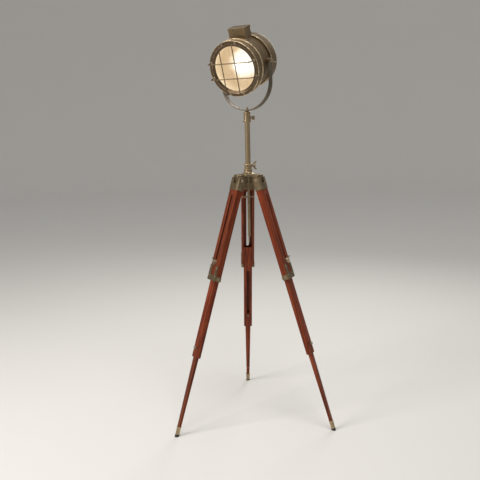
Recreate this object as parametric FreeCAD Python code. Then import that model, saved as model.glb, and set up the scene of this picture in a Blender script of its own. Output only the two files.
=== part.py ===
import FreeCAD, Part
import math
import os

os.makedirs("parts", exist_ok=True)

# Tripod floor lamp with a drum-shaped spotlight in a U-shaped yoke.
# Sizes are in millimetres and degrees. The origin is on the floor under the column
# axis, +Z is up and the rear leg points along +Y. Stations along a leg are distances
# from its hinge pin towards the foot.

V = FreeCAD.Vector
O = V(0, 0, 0)
EX = V(1, 0, 0)
EY = V(0, 1, 0)
EZ = V(0, 0, 1)

# Clearances
running_gap = 0.05
slide_gap = 0.3
open_gap = 0.3

# Leg layout
leg_reach = 1003.0
leg_splay = 17.8
leg_spacing = 120.0
rear_azimuth = 90.0
pin_circle_r = 45.0

# Hinge pins
pin_r = 4.0

# Hub casting
hub_pin_drop = 14.0
hub_plate_t = 9.4
hub_centre_r = 34.0
hub_arm_w = 40.0
hub_arm_end = 57.0
hub_arm_corner = 8.0
hub_edge = 1.5
lug_t = 19.0
lug_r = 11.0
hub_boss_r = 16.0
hub_boss_h = 9.0
column_seat = 4.0

# Leg cap
cap_wall = 2.0
cap_end = 38.0
cap_slot_floor = 12.0
cap_corner = 3.5
cap_shoulder = 10.0

# Upper wood section
upper_w = 52.0
upper_d = 27.0
upper_top = 16.0
upper_end = 391.0
upper_face_t = 6.5
upper_corner = 2.0
channel_top = 46.0
slot_w = 10.0
slot_spare = 22.0

# Guide bracket
bracket_t = 1.5
bracket_l = 60.0
bracket_arch_w = 26.0
bracket_arch_l = 40.0
bracket_flap_l = 21.0
bracket_flap_fall = 6.0
bracket_lip_w = 6.0

# Middle wood section
middle_w = 34.0
middle_wall_t = 3.0
middle_top = 298.0
middle_below_knob = 38.0
middle_corner = 1.5
middle_travel = 240.0
stop_slot_w = 12.0

# Lower wood section
lower_w = 22.0
lower_d = 13.6
lower_top = 626.0
lower_straight_end = 700.0
lower_tip_w = 13.0
lower_tip_d = 12.0
lower_corner = 1.5
lower_travel = 225.0
tongue_w = 11.5
tongue_d = 10.5
tongue_l = 17.0
stop_station = 640.0

# Ferrule and pad
ferrule_l = 30.0
ferrule_top_r = 9.0
ferrule_low_r = 7.6
ferrule_rim_h = 4.0
pad_r = 8.2
pad_l = 10.0

# Clamp bolt and wing nuts
bolt_station = 319.5
bolt_r = 3.0
bolt_head_w = 11.0
bolt_head_t = 3.0
washer_r = 8.5
washer_t = 1.5
bolt_spare = 2.5
nut_r = 5.6
nut_h = 10.0
wing_reach = 16.5
wing_h = 15.0
wing_t = 2.4
wing_foot = 0.12
wing_throat = 0.45
wing_belly = 0.9
wing_tip_low = 0.8
wing_crown = 0.85
wing_out = 1.0
wing_inner = 0.62
wing_saddle = 0.45
wing_root = 0.3
wing_root_h = 0.55
left_nut_turn = 35.0
right_nut_turn = -40.0
rear_nut_turn = 20.0

# Round clamp knob on each leg
knob_drop = 27.0
knob_r = 6.0
knob_l = 7.0
knob_shank_r = 2.5
knob_neck_l = 2.0

# Hub collar, from the top of the hub plate upwards
flare_r = 24.9
flare_rim_h = 1.6
flare_foot_r = 21.0
flare_top_r = 14.5
flare_h = 13.4
foot_ring_r = 19.1
foot_ring_h = 4.2
collar_body_r = 13.4
collar_body_h = 14.8
top_ring_r = 17.2
top_ring_h = 5.7
clamp_boss_r = 4.6
clamp_boss_reach = 18.6
clamp_height = 32.0
clamp_shank_r = 2.5

# Column
column_r = 10.0
column_wall = 1.8
column_rise = 193.5
tube_grip = 12.0
sleeve_ring_r = 15.0
sleeve_ring_h = 7.6
sleeve_r = 13.2
sleeve_h = 29.0
thumb_height = 16.8
thumb_boss_reach = 15.0
thumb_knob_start = 16.5
thumb_knob_r = 7.5
thumb_knob_l = 12.5

# Mast
rod_r = 5.0
rod_bore_r = 3.0
rod_below_hub = 232.0
rod_plug_l = 8.0
tail_r = 2.3
tail_l = 24.0
tail_offset = 1.5
mast_head_h = 10.0
mast_head_neck_r = 7.0
mast_head_neck_h = 3.6
stud_r = 4.0
dome_flange_r = 6.5
dome_flange_h = 1.6
dome_r = 4.9
dome_h = 10.6
dome_bands = 2

# Yoke
head_heading = -32.92
yoke_room = 0.6
yoke_t = 3.0
yoke_strap_w = 25.0
yoke_drop = 176.0

# Lamp head: stations run backwards from the front lip, radii from the lamp axis
head_tilt = 18.5
pivot_station = 95.0
drum_r = 92.5
drum_t = 1.5
drum_front = 27.0
bezel_over = 5.5
bezel_lip_over = 9.0
bezel_lip_l = 5.0
bezel_opening_in = 12.0
bezel_face_w = 12.0
bezel_chamfer_l = 5.0
bezel_flange_l = 2.0
bezel_bore_over = 2.0
bezel_socket = 33.0
bead_station = 37.0
bead_half_l = 3.2
glass_in = 2.5
glass_t = 3.0
glass_bulge = 1.2
retainer_in = 8.5
retainer_l = 3.0
reflector_t = 1.2
reflector_flange_in = 2.0
reflector_bands = 2
reflector_mid_station = 55.0
reflector_mid_r = 68.0
reflector_rear_station = 85.0
reflector_rear_r = 30.0
bulb_r = 27.0
bulb_bands = 2
bulb_station = 55.0
bulb_cap_r = 13.0
bulb_cap_end = 115.0
holder_r = 19.0
holder_front = 89.0
holder_back = 131.0
holder_post_r = 14.0
holder_post_in = 10.0
rear_front = 112.0
rear_over = 5.9
rear_bead_h = 1.0
rear_bead_l = 4.0
rear_rim_l = 6.0
rear_wall = 2.0
rear_round = 8.0
rear_bulge = 17.0
rear_depth = 168.0
rear_bands = 2
rear_boss_r = 18.0
trunnion_r = 11.0
trunnion_stud_r = 4.0
tilt_nut_turn = 53.0

# Chimney
chimney_front = 63.0
chimney_l = 47.0
chimney_half_w = 35.0
chimney_rise = 38.5
chimney_wall = 1.5
chimney_foot_w = 1.8
chimney_foot_t = 1.4
chimney_corner = 3.0
lid_over = 2.0
lid_h = 7.5
lid_t = 2.0
vent_half_w = 20.0
vent_l = 24.0

# Cable gland
gland_drop = 60.0
gland_pad_r = 11.0
gland_pad_rise = 1.0
gland_stem_r = 6.5
gland_hex_r = 10.0
gland_hex_l = 6.0
gland_nose_r = 7.5
gland_nose_l = 10.0
gland_bore_r = 3.2

# Wire guard
guard_rise = 28.0
guard_wire_r = 1.65
guard_offset = 27.5
guard_shift = 4.0
guard_end_over = 0.5
guard_bend_r = 8.0
guard_bend_steps = 2
guard_weld = 0.02
guard_foot_r = 4.6
guard_foot_h = 2.2

# Heights that follow from the sizes above
pin_height = leg_reach * math.cos(math.radians(leg_splay))
plate_bottom = pin_height + hub_pin_drop
plate_top = plate_bottom + hub_plate_t
column_top = plate_top + column_rise
sleeve_top = column_top + sleeve_h
mast_head_bottom = sleeve_top + open_gap
stud_base = mast_head_bottom + mast_head_h + mast_head_neck_h
strap_bottom = stud_base + open_gap
pivot_height = strap_bottom + yoke_drop

ferrule_top = leg_reach - pad_l - ferrule_l

# Radii and stations of the lamp head that follow from the drum
bezel_r = drum_r + bezel_over
bezel_lip_r = drum_r + bezel_lip_over
bezel_bore_r = drum_r + bezel_bore_over
bezel_opening_r = drum_r - bezel_opening_in
glass_r = drum_r - glass_in
retainer_r = drum_r - retainer_in
reflector_flange_r = drum_r - reflector_flange_in
rear_r = drum_r + rear_over
rear_bead_r = rear_r + rear_bead_h
rear_side_end = rear_depth - rear_bulge
holder_post_end = rear_depth - holder_post_in
gland_pad_end = rear_depth + gland_pad_rise
chimney_top = drum_r + chimney_rise
guard_end_r = drum_r + guard_end_over
yoke_half_w = rear_bead_r + yoke_room + yoke_t

# Stations along a leg that follow from the lower section
knob_station = lower_top + knob_drop
middle_end = knob_station + middle_below_knob

# Faces across a leg, with X pointing outwards from the leg's centre line
channel_floor_x = upper_d / 2 - upper_face_t
channel_w = middle_w + 2 * slide_gap
middle_outer_x = channel_floor_x - slide_gap
cavity_outer_x = middle_outer_x - middle_wall_t
cavity_d = lower_d + 2 * slide_gap
cavity_w = lower_w + 2 * slide_gap
cavity_inner_x = cavity_outer_x - cavity_d
middle_inner_x = cavity_inner_x - middle_wall_t
lower_x = cavity_outer_x - cavity_d / 2


def block(x0, x1, y0, y1, z0, z1):
    return Part.makeBox(x1 - x0, y1 - y0, z1 - z0, V(x0, y0, z0))


def bar(radius, start, end):
    run = end.sub(start)
    return Part.makeCylinder(radius, run.Length, start, run)


def outline(start, steps):
    # Closed flat outline. A step is an end point, or a pair (point on the arc, end point).
    edges = []
    here = start
    for step in steps:
        if isinstance(step, tuple):
            edges.append(Part.Arc(here, step[0], step[1]).toShape())
            here = step[1]
        else:
            edges.append(Part.makeLine(here, step))
            here = step
    edges.append(Part.makeLine(here, start))
    return Part.Face(Part.Wire(edges))


def turned_z(points):
    # Body of revolution about Z from (radius, height) points.
    corners = [V(r, 0, height) for r, height in points]
    return outline(corners[0], corners[1:]).revolve(O, EZ, 360)


def turned_lamp(points):
    # Body of revolution about the lamp axis from (radius, station) points.
    corners = [at(r, station) for r, station in points]
    return outline(corners[0], corners[1:]).revolve(O, EY, 360)


def at(radius, station):
    return V(radius, station - pivot_station, 0)


def corner_pull(corner):
    # How far the middle of a corner arc lies inside the square corner, along each side.
    return corner * (1 - math.sqrt(0.5))


def dome_points(edge_r, edge_station, crown_station, bands):
    # Points of a ball-shaped dome from its edge to just short of its crown.
    rise = abs(crown_station - edge_station)
    ball = (edge_r ** 2 + rise ** 2) / (2 * rise)
    points = []
    for k in range(bands):
        r = edge_r * (1 - k / bands)
        fall = ball - math.sqrt(ball ** 2 - r ** 2)
        points.append((r, crown_station + math.copysign(fall, edge_station - crown_station)))
    return points


def bowl_points(front, middle, rear, bands):
    # Points of a smooth bowl through three (radius, station) points.
    curve = Part.Arc(V(front[0], front[1], 0), V(middle[0], middle[1], 0), V(rear[0], rear[1], 0)).toShape()
    return [(p.x, p.y) for p in curve.discretize(bands + 1)]


def ring_points(base_r, top_r, start, end):
    # A flat ring seen in section, standing up from base_r to top_r.
    return [(base_r, start), (top_r, start), (top_r, end), (base_r, end)]


def section_wire(centre_x, depth, width, corner, z):
    # Cross-section of a squared piece, its four long edges bevelled.
    x0 = centre_x - depth / 2
    x1 = centre_x + depth / 2
    y0 = -width / 2
    y1 = width / 2
    corners = [
        V(x0 + corner, y0, z),
        V(x1 - corner, y0, z),
        V(x1, y0 + corner, z),
        V(x1, y1 - corner, z),
        V(x1 - corner, y1, z),
        V(x0 + corner, y1, z),
        V(x0, y1 - corner, z),
        V(x0, y0 + corner, z),
    ]
    return Part.makePolygon(corners + [corners[0]])


def section_prism(centre_x, depth, width, corner, z0, z1):
    face = Part.Face(section_wire(centre_x, depth, width, corner, z0))
    return face.extrude(V(0, 0, z1 - z0))


def moved(shape, placement):
    copy = shape.copy()
    copy.Placement = placement.multiply(copy.Placement)
    return copy


def turn(axis, angle):
    return FreeCAD.Placement(O, FreeCAD.Rotation(axis, angle))


def shift(x, y, z):
    return FreeCAD.Placement(V(x, y, z), FreeCAD.Rotation())


def aimed(direction):
    # Placement that swings +Z onto the given direction.
    return FreeCAD.Placement(O, FreeCAD.Rotation(EZ, direction))


def save(name, shape):
    shape.exportStep("parts/" + name + ".step")


# ---------------------------------------------------------------- hub


def hub_casting():
    plate = Part.makeCylinder(hub_centre_r, hub_plate_t, V(0, 0, plate_bottom))
    arm_l = 2 * hub_arm_end
    arm = section_prism(0, arm_l, hub_arm_w, hub_arm_corner, plate_bottom, plate_top)
    arm = arm.cut(block(-arm_l, 0, -arm_l, arm_l, plate_bottom - 1, plate_top + 1))
    lug_low = bar(lug_r, V(pin_circle_r, -lug_t / 2, pin_height), V(pin_circle_r, lug_t / 2, pin_height))
    lug_high = block(
        pin_circle_r - lug_r, pin_circle_r + lug_r, -lug_t / 2, lug_t / 2, pin_height, plate_bottom + hub_edge
    )
    lug = lug_low.fuse(lug_high)
    boss = Part.makeCylinder(hub_boss_r, hub_boss_h + hub_edge, V(0, 0, plate_bottom - hub_boss_h))
    for azimuth in leg_azimuths():
        plate = plate.fuse(moved(arm, turn(EZ, azimuth)))
    plate = plate.removeSplitter()
    rim = [e for e in plate.Edges if e.BoundBox.ZMin > plate_top - hub_edge]
    plate = plate.makeChamfer(hub_edge, rim)
    for azimuth in leg_azimuths():
        plate = plate.fuse(moved(lug, turn(EZ, azimuth)))
    plate = plate.fuse(boss)
    bore = Part.makeCylinder(rod_r + open_gap, 2 * leg_reach)
    seat = Part.makeCylinder(column_r + running_gap, leg_reach, V(0, 0, plate_top - column_seat))
    plate = plate.cut(bore).cut(seat)
    for azimuth in leg_azimuths():
        hole = bar(pin_r, V(pin_circle_r, -lug_t, pin_height), V(pin_circle_r, lug_t, pin_height))
        plate = plate.cut(moved(hole, turn(EZ, azimuth)))
    return plate


def leg_azimuths():
    return [rear_azimuth + k * leg_spacing for k in range(3)]


def hinge_pins():
    ear_y = upper_w / 2 + cap_wall
    pin = bar(pin_r, V(pin_circle_r, -ear_y, pin_height), V(pin_circle_r, ear_y, pin_height))
    return Part.makeCompound([moved(pin, turn(EZ, azimuth)) for azimuth in leg_azimuths()])


def hub_collar():
    z0 = plate_top
    z1 = z0 + flare_h
    z2 = z1 + foot_ring_h
    z3 = z2 + collar_body_h
    z4 = z3 + top_ring_h
    bore = column_r + running_gap
    points = [
        (bore, z0),
        (flare_r, z0),
        (flare_r, z0 + flare_rim_h),
        (flare_foot_r, z0 + flare_rim_h),
        (flare_top_r, z1),
    ]
    points += ring_points(collar_body_r, foot_ring_r, z1, z2)
    points += ring_points(collar_body_r, top_ring_r, z3, z4)
    collar = turned_z(points + [(bore, z4)])
    height = z0 + clamp_height
    boss = bar(clamp_boss_r, V(column_r + column_wall, 0, height), V(clamp_boss_reach, 0, height))
    hole = bar(clamp_shank_r + running_gap, V(0, 0, height), V(2 * clamp_boss_reach, 0, height))
    return collar.fuse(boss).cut(hole)


def wing_pair():
    # Two wings standing on z = 0, spread along X.
    corners = [
        (0, wing_foot),
        (wing_throat, wing_foot),
        (wing_belly, wing_root),
        (wing_out, wing_tip_low),
        (wing_crown, wing_out),
        (wing_inner, wing_tip_low),
        (wing_saddle, wing_inner),
        (wing_root, wing_root_h),
        (0, wing_root_h),
    ]
    points = [V(x * wing_reach, 0, z * wing_h) for x, z in corners]
    wing = outline(points[0], points[1:]).extrude(V(0, wing_t, 0))
    wing.translate(V(0, -wing_t / 2, 0))
    return wing.fuse(moved(wing, turn(EZ, 180)))


def wing_nut(bore):
    # Wing nut with its own washer face, standing on z = 0 with its bore along Z.
    barrel = Part.makeCylinder(nut_r, nut_h)
    face = Part.makeCylinder(washer_r, washer_t)
    nut = barrel.fuse(face).fuse(moved(wing_pair(), shift(0, 0, washer_t)))
    return nut.cut(Part.makeCylinder(bore, 2 * wing_h, V(0, 0, -1)))


def hub_clamp_screw():
    height = plate_top + clamp_height
    start = column_r + 2 * running_gap
    head = clamp_boss_reach + open_gap
    shank = Part.makeCylinder(clamp_shank_r, head - start, V(0, 0, start))
    barrel = Part.makeCylinder(nut_r, nut_h, V(0, 0, head))
    wings = moved(wing_pair(), shift(0, 0, head + open_gap))
    screw = shank.fuse(barrel).fuse(wings)
    screw = moved(screw, aimed(EX))
    return moved(screw, shift(0, 0, height))


# ---------------------------------------------------------------- legs


def leg_place(azimuth):
    lean = FreeCAD.Placement(V(pin_circle_r, 0, pin_height), FreeCAD.Rotation(EY, -leg_splay))
    return turn(EZ, azimuth).multiply(lean)


def leg_cap():
    half_d = upper_d / 2 + cap_wall
    half_w = upper_w / 2 + cap_wall
    lean_sin = math.sin(math.radians(leg_splay))
    lean_cos = math.cos(math.radians(leg_splay))
    stop = hub_pin_drop - open_gap
    mid_angle = math.radians(135 - leg_splay / 2)
    steps = [
        V(half_d, 0, (stop - half_d * lean_sin) / lean_cos),
        V(stop * lean_sin, 0, stop * lean_cos),
        (V(stop * math.cos(mid_angle), 0, stop * math.sin(mid_angle)), V(-stop, 0, 0)),
        V(-half_d, 0, -cap_shoulder),
        V(-half_d, 0, -cap_end),
    ]
    side = outline(V(half_d, 0, -cap_end), steps).extrude(V(0, 2 * half_w, 0))
    side.translate(V(0, -half_w, 0))
    sleeve = section_prism(0, 2 * half_d, 2 * half_w, cap_corner, -cap_end, 2 * hub_pin_drop)
    cap = side.common(sleeve)
    pocket = section_prism(0, upper_d, upper_w, upper_corner, -cap_end - 1, -upper_top)
    slot_y = lug_t / 2 + slide_gap
    slot = block(-2 * half_d, 2 * half_d, -slot_y, slot_y, -cap_slot_floor, 2 * hub_pin_drop)
    bore = bar(pin_r + running_gap, V(0, -2 * half_w, 0), V(0, 2 * half_w, 0))
    return cap.cut(pocket).cut(slot).cut(bore)


def long_slot(width, top, bottom, x0, x1):
    # Round-ended cutter across a wall, from station top to station bottom.
    r = width / 2
    body = block(x0, x1, -r, r, -(bottom - r), -(top + r))
    high = bar(r, V(x0, 0, -(top + r)), V(x1, 0, -(top + r)))
    low = bar(r, V(x0, 0, -(bottom - r)), V(x1, 0, -(bottom - r)))
    return body.fuse(high).fuse(low)


def upper_section():
    wood = section_prism(0, upper_d, upper_w, upper_corner, -upper_end, -upper_top)
    channel = block(-upper_d, channel_floor_x, -channel_w / 2, channel_w / 2, -upper_end - 1, -channel_top)
    slot_top = bolt_station - middle_travel - slot_spare
    slot_bottom = bolt_station + slot_w / 2 + open_gap
    slot = long_slot(slot_w, slot_top, slot_bottom, 0, upper_d)
    return wood.cut(channel).cut(slot)


def guide_bracket():
    half_w = upper_w / 2 + bracket_t
    face_x = upper_d / 2
    top = upper_end - bracket_l
    arch_r = bracket_arch_w / 2
    prong = half_w - arch_r
    arch_low = top + bracket_arch_l
    steps = [
        V(face_x, -half_w, -(top + prong / 2)),
        (V(face_x, -half_w + prong / 2, -top), V(face_x, -arch_r, -(top + prong / 2))),
        V(face_x, -arch_r, -(arch_low - arch_r)),
        (V(face_x, 0, -arch_low), V(face_x, arch_r, -(arch_low - arch_r))),
        V(face_x, arch_r, -(top + prong / 2)),
        (V(face_x, half_w - prong / 2, -top), V(face_x, half_w, -(top + prong / 2))),
        V(face_x, half_w, -upper_end),
    ]
    plate = outline(V(face_x, -half_w, -upper_end), steps).extrude(V(bracket_t, 0, 0))
    flap_top = upper_end - bracket_flap_l
    wrap = section_prism(
        0,
        upper_d + 2 * bracket_t,
        2 * half_w,
        upper_corner + bracket_t,
        -upper_end,
        -flap_top,
    )
    fall = outline(
        V(face_x + bracket_t, 0, -flap_top),
        [
            V(-face_x - bracket_t, 0, -(flap_top + bracket_flap_fall)),
            V(-face_x - bracket_t, 0, 0),
            V(face_x + bracket_t, 0, 0),
        ],
    ).extrude(V(0, 4 * half_w, 0))
    fall.translate(V(0, -2 * half_w, 0))
    gap_y = upper_w / 2 - bracket_lip_w
    opening = block(-upper_d, 0, -gap_y, gap_y, -upper_end - 1, 0)
    wood = section_prism(0, upper_d, upper_w, upper_corner, -upper_end - 1, 0)
    wrap = wrap.cut(fall).cut(opening)
    return plate.fuse(wrap).cut(wood).removeSplitter()


def clamp_bolt():
    # Square-headed bolt, its head inside the middle section.
    tip_x = upper_d / 2 + slide_gap + nut_h + bolt_spare
    z = -bolt_station
    half = bolt_head_w / 2
    head = block(cavity_outer_x - bolt_head_t, cavity_outer_x, -half, half, z - half, z + half)
    return head.fuse(bar(bolt_r, V(cavity_outer_x, 0, z), V(tip_x, 0, z)))


def leg_wing_nut(angle):
    nut = moved(wing_nut(bolt_r + running_gap), turn(EZ, angle))
    seat_x = upper_d / 2 + slide_gap
    return moved(moved(nut, aimed(EX)), shift(seat_x, 0, -bolt_station))


def middle_section():
    depth = middle_outer_x - middle_inner_x
    centre = (middle_outer_x + middle_inner_x) / 2
    wood = section_prism(centre, depth, middle_w, middle_corner, -middle_end, -middle_top)
    half_w = cavity_w / 2
    cavity = block(cavity_inner_x, cavity_outer_x, -half_w, half_w, -middle_end - 1, -middle_top + 1)
    slot_top = stop_station - lower_travel - stop_slot_w / 2
    slot_bottom = stop_station + stop_slot_w / 2
    slot = long_slot(stop_slot_w, slot_top, slot_bottom, middle_inner_x - 1, cavity_inner_x + 1)
    bolt_hole = bar(bolt_r, V(0, 0, -bolt_station), V(upper_d, 0, -bolt_station))
    knob_hole = bar(knob_shank_r + running_gap, V(0, 0, -knob_station), V(upper_d, 0, -knob_station))
    return wood.cut(cavity).cut(slot).cut(bolt_hole).cut(knob_hole)


def clamp_knob():
    tip = lower_x + lower_d / 2 + 2 * running_gap
    seat = middle_outer_x + knob_neck_l
    shank = Part.makeCylinder(knob_shank_r, seat - tip, V(0, 0, tip))
    knob = Part.makeCylinder(knob_r, knob_l, V(0, 0, seat))
    return moved(moved(shank.fuse(knob), aimed(EX)), shift(0, 0, -knob_station))


def lower_tongue(margin):
    # The squared tip that sits in the ferrule.
    x0 = lower_x - tongue_d / 2
    x1 = lower_x + tongue_d / 2
    y = tongue_w / 2
    return block(x0, x1, -y, y, -ferrule_top - tongue_l, -ferrule_top + margin)


def lower_section():
    top = section_prism(lower_x, lower_d, lower_w, lower_corner, -lower_straight_end, -lower_top)
    high = section_wire(lower_x, lower_d, lower_w, lower_corner, -lower_straight_end)
    low = section_wire(lower_x, lower_tip_d, lower_tip_w, lower_corner, -ferrule_top)
    taper = Part.makeLoft([low, high], True, True)
    return top.fuse(taper).fuse(lower_tongue(0))


def ferrule():
    z0 = -ferrule_top
    z1 = z0 - ferrule_l
    body = turned_z(
        [
            (0, z0),
            (ferrule_top_r, z0),
            (ferrule_top_r, z0 - ferrule_rim_h),
            (ferrule_low_r, z0 - ferrule_rim_h),
            (ferrule_low_r, z1),
            (0, z1),
        ]
    )
    return moved(body, shift(lower_x, 0, 0)).cut(lower_tongue(1))


def foot_pad():
    top = -ferrule_top - ferrule_l
    low = -leg_reach - 2 * pad_r
    return bar(pad_r, V(lower_x, 0, low), V(lower_x, 0, top))


def floor_block():
    return block(-leg_reach, leg_reach, -leg_reach, leg_reach, -leg_reach, 0)


# ---------------------------------------------------------------- column and mast


def column_tube():
    bottom = plate_top - column_seat + 2 * running_gap
    top = column_top + tube_grip
    tube = Part.makeCylinder(column_r, top - bottom, V(0, 0, bottom))
    return tube.cut(Part.makeCylinder(column_r - column_wall, top, V(0, 0, 0)))


def column_collar():
    z0 = column_top
    z1 = z0 + sleeve_ring_h
    z2 = sleeve_top
    shoulder = z0 + tube_grip
    guide = rod_r + running_gap
    points = [(column_r, z0)]
    points += ring_points(sleeve_r, sleeve_ring_r, z0, z1)
    points += [(sleeve_r, z2), (guide, z2), (guide, shoulder), (column_r, shoulder)]
    collar = turned_z(points)
    height = z0 + thumb_height
    boss = bar(clamp_boss_r, V(column_r, 0, height), V(thumb_boss_reach, 0, height))
    hole = bar(clamp_shank_r + running_gap, V(0, 0, height), V(2 * thumb_boss_reach, 0, height))
    return collar.fuse(boss).cut(hole)


def column_clamp_screw():
    height = column_top + thumb_height
    tip = rod_r + 2 * running_gap
    shank = Part.makeCylinder(clamp_shank_r, thumb_knob_start - tip, V(0, 0, tip))
    knob = Part.makeCylinder(thumb_knob_r, thumb_knob_l, V(0, 0, thumb_knob_start))
    return moved(moved(shank.fuse(knob), aimed(EX)), shift(0, 0, height))


def mast_rod():
    bottom = plate_bottom - rod_below_hub
    top = mast_head_bottom + mast_head_h
    rod = Part.makeCylinder(rod_r, top - bottom, V(0, 0, bottom))
    bore = Part.makeCylinder(rod_bore_r, top, V(0, 0, bottom + rod_plug_l))
    tail = Part.makeCylinder(tail_r, tail_l + rod_plug_l / 2, V(-tail_offset, 0, bottom - tail_l))
    return rod.cut(bore).fuse(tail)


def mast_head():
    z0 = mast_head_bottom
    z1 = z0 + mast_head_h
    stud_top = strap_bottom + yoke_t + open_gap + dome_h - dome_r
    body = turned_z(
        [
            (0, z1),
            (0, stud_top),
            (stud_r, stud_top),
            (stud_r, stud_base),
            (mast_head_neck_r, stud_base),
            (mast_head_neck_r, z1),
            (sleeve_r, z1),
            (sleeve_r, z0),
            (rod_r, z0),
            (rod_r, z1),
        ]
    )
    return body


def yoke_nut():
    z0 = strap_bottom + yoke_t + open_gap
    z1 = z0 + dome_flange_h
    z2 = z0 + dome_h - dome_r
    points = [(stud_r, z0), (dome_flange_r, z0), (dome_flange_r, z1), (dome_r, z1)]
    points += dome_points(dome_r, z2, z0 + dome_h, dome_bands)
    points += [(0, z0 + dome_h), (0, z2), (stud_r, z2)]
    return turned_z(points)


# ---------------------------------------------------------------- yoke


def yoke_place():
    return turn(EZ, head_heading).multiply(shift(0, 0, pivot_height))


def yoke_strap():
    inner = yoke_half_w - yoke_t
    centre = yoke_half_w - yoke_drop
    top = yoke_strap_w
    steps = [
        V(yoke_half_w, 0, centre),
        (V(0, 0, -yoke_drop), V(-yoke_half_w, 0, centre)),
        V(-yoke_half_w, 0, top),
        V(-inner, 0, top),
        V(-inner, 0, centre),
        (V(0, 0, yoke_t - yoke_drop), V(inner, 0, centre)),
        V(inner, 0, top),
    ]
    strap = outline(V(yoke_half_w, 0, top), steps).extrude(V(0, yoke_strap_w, 0))
    strap.translate(V(0, -yoke_strap_w / 2, 0))
    low = -yoke_drop - 1
    half = yoke_strap_w / 2
    side = outline(
        V(-yoke_drop, -half, low),
        [
            V(-yoke_drop, -half, 0),
            (V(-yoke_drop, 0, half), V(-yoke_drop, half, 0)),
            V(-yoke_drop, half, low),
        ],
    ).extrude(V(2 * yoke_drop, 0, 0))
    strap = strap.common(side)
    reach = 2 * yoke_half_w
    strap = strap.cut(bar(trunnion_stud_r + running_gap, V(-reach, 0, 0), V(reach, 0, 0)))
    return strap.cut(bar(stud_r + running_gap, V(0, 0, -reach), V(0, 0, -yoke_drop / 2)))


def tilt_nut(side):
    nut = moved(wing_nut(trunnion_stud_r + running_gap), turn(EZ, side * tilt_nut_turn))
    nut = moved(nut, shift(0, 0, yoke_half_w + open_gap))
    return moved(nut, turn(EY, side * 90))


# ---------------------------------------------------------------- lamp head


def head_place():
    return yoke_place().multiply(turn(EX, head_tilt))


def drum_shell():
    end = rear_front + rear_rim_l
    drum = bar(drum_r, at(0, drum_front), at(0, end))
    drum = drum.cut(bar(drum_r - drum_t, at(0, drum_front), at(0, end)))
    middle = chimney_front + chimney_l / 2 - pivot_station
    vent = block(-vent_half_w, vent_half_w, middle - vent_l / 2, middle + vent_l / 2, 0, 2 * drum_r)
    return drum.cut(vent)


def front_bezel():
    face_r = bezel_lip_r - bezel_face_w
    flange = bezel_chamfer_l + bezel_flange_l
    rear_lip = bead_station + bead_half_l
    points = [
        (face_r, 0),
        (bezel_lip_r, 0),
        (bezel_lip_r, bezel_lip_l),
        (bezel_r, bezel_lip_l),
    ]
    points += ring_points(bezel_r, bezel_lip_r, bead_station - bead_half_l, rear_lip)
    points += [
        (drum_r, rear_lip),
        (drum_r, bezel_socket),
        (bezel_bore_r, bezel_socket),
        (bezel_bore_r, flange),
        (bezel_opening_r, flange),
        (bezel_opening_r, bezel_chamfer_l),
    ]
    return turned_lamp(points)


def lens_glass():
    front = bezel_chamfer_l + bezel_flange_l
    back = front + glass_t
    face_r = bezel_opening_r - glass_t
    points = [
        (0, back),
        (glass_r, back),
        (glass_r, front),
        (bezel_opening_r, front),
        (face_r, front - glass_bulge),
        (0, front - glass_bulge),
    ]
    return turned_lamp(points)


def lens_retainer():
    front = bezel_chamfer_l + bezel_flange_l + glass_t
    back = front + retainer_l
    return turned_lamp([(retainer_r, front), (bezel_bore_r, front), (bezel_bore_r, back), (retainer_r, back)])


def reflector():
    seat = bezel_chamfer_l + bezel_flange_l + glass_t + retainer_l
    t = reflector_t
    rear = reflector_rear_station
    inside = bowl_points(
        (retainer_r, seat),
        (reflector_mid_r, reflector_mid_station),
        (reflector_rear_r, rear),
        reflector_bands,
    )
    outside = bowl_points(
        (reflector_rear_r, rear + t),
        (reflector_mid_r + t, reflector_mid_station + t),
        (retainer_r + t, seat + t),
        reflector_bands,
    )
    rim = [(reflector_flange_r, seat + t), (reflector_flange_r, seat)]
    return turned_lamp(inside + outside + rim)


def lamp_holder():
    points = [
        (bulb_cap_r, holder_front),
        (holder_r, holder_front),
        (holder_r, holder_back),
        (holder_post_r, holder_back),
        (holder_post_r, holder_post_end),
        (0, holder_post_end),
        (0, bulb_cap_end),
        (bulb_cap_r, bulb_cap_end),
    ]
    return turned_lamp(points)


def bulb():
    join = bulb_station + math.sqrt(bulb_r ** 2 - bulb_cap_r ** 2)
    points = [(0, bulb_cap_end), (bulb_cap_r, bulb_cap_end)]
    points += bowl_points((bulb_cap_r, join), (bulb_r, bulb_station), (0, bulb_station - bulb_r), bulb_bands)
    return turned_lamp(points)


def rear_cover():
    turn_r = rear_r - rear_round
    turn_station = rear_side_end + rear_round
    pull = corner_pull(rear_round)
    w = rear_wall
    rim_end = rear_front + rear_rim_l
    points = ring_points(rear_r, rear_bead_r, rear_front, rear_front + rear_bead_l)
    points += [(rear_r, rear_side_end), (rear_r - pull, turn_station - pull)]
    points += dome_points(turn_r, turn_station, rear_depth, rear_bands)
    points += [(0, rear_depth), (0, rear_depth - w)]
    points += [(turn_r, turn_station - w), (rear_r - w, rear_side_end)]
    points += [(rear_r - w, rim_end), (drum_r, rim_end), (drum_r, rear_front)]
    cover = turned_lamp(points)
    boss = bar(rear_boss_r, at(0, holder_post_end), at(0, rear_depth - w / 2))
    pad = bar(gland_pad_r, at(0, turn_station), at(0, gland_pad_end))
    stem = bar(gland_stem_r, at(0, holder_post_end), at(0, gland_pad_end))
    pad.translate(V(0, 0, -gland_drop))
    stem.translate(V(0, 0, -gland_drop))
    return cover.fuse(boss).fuse(pad).cut(stem)


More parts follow.
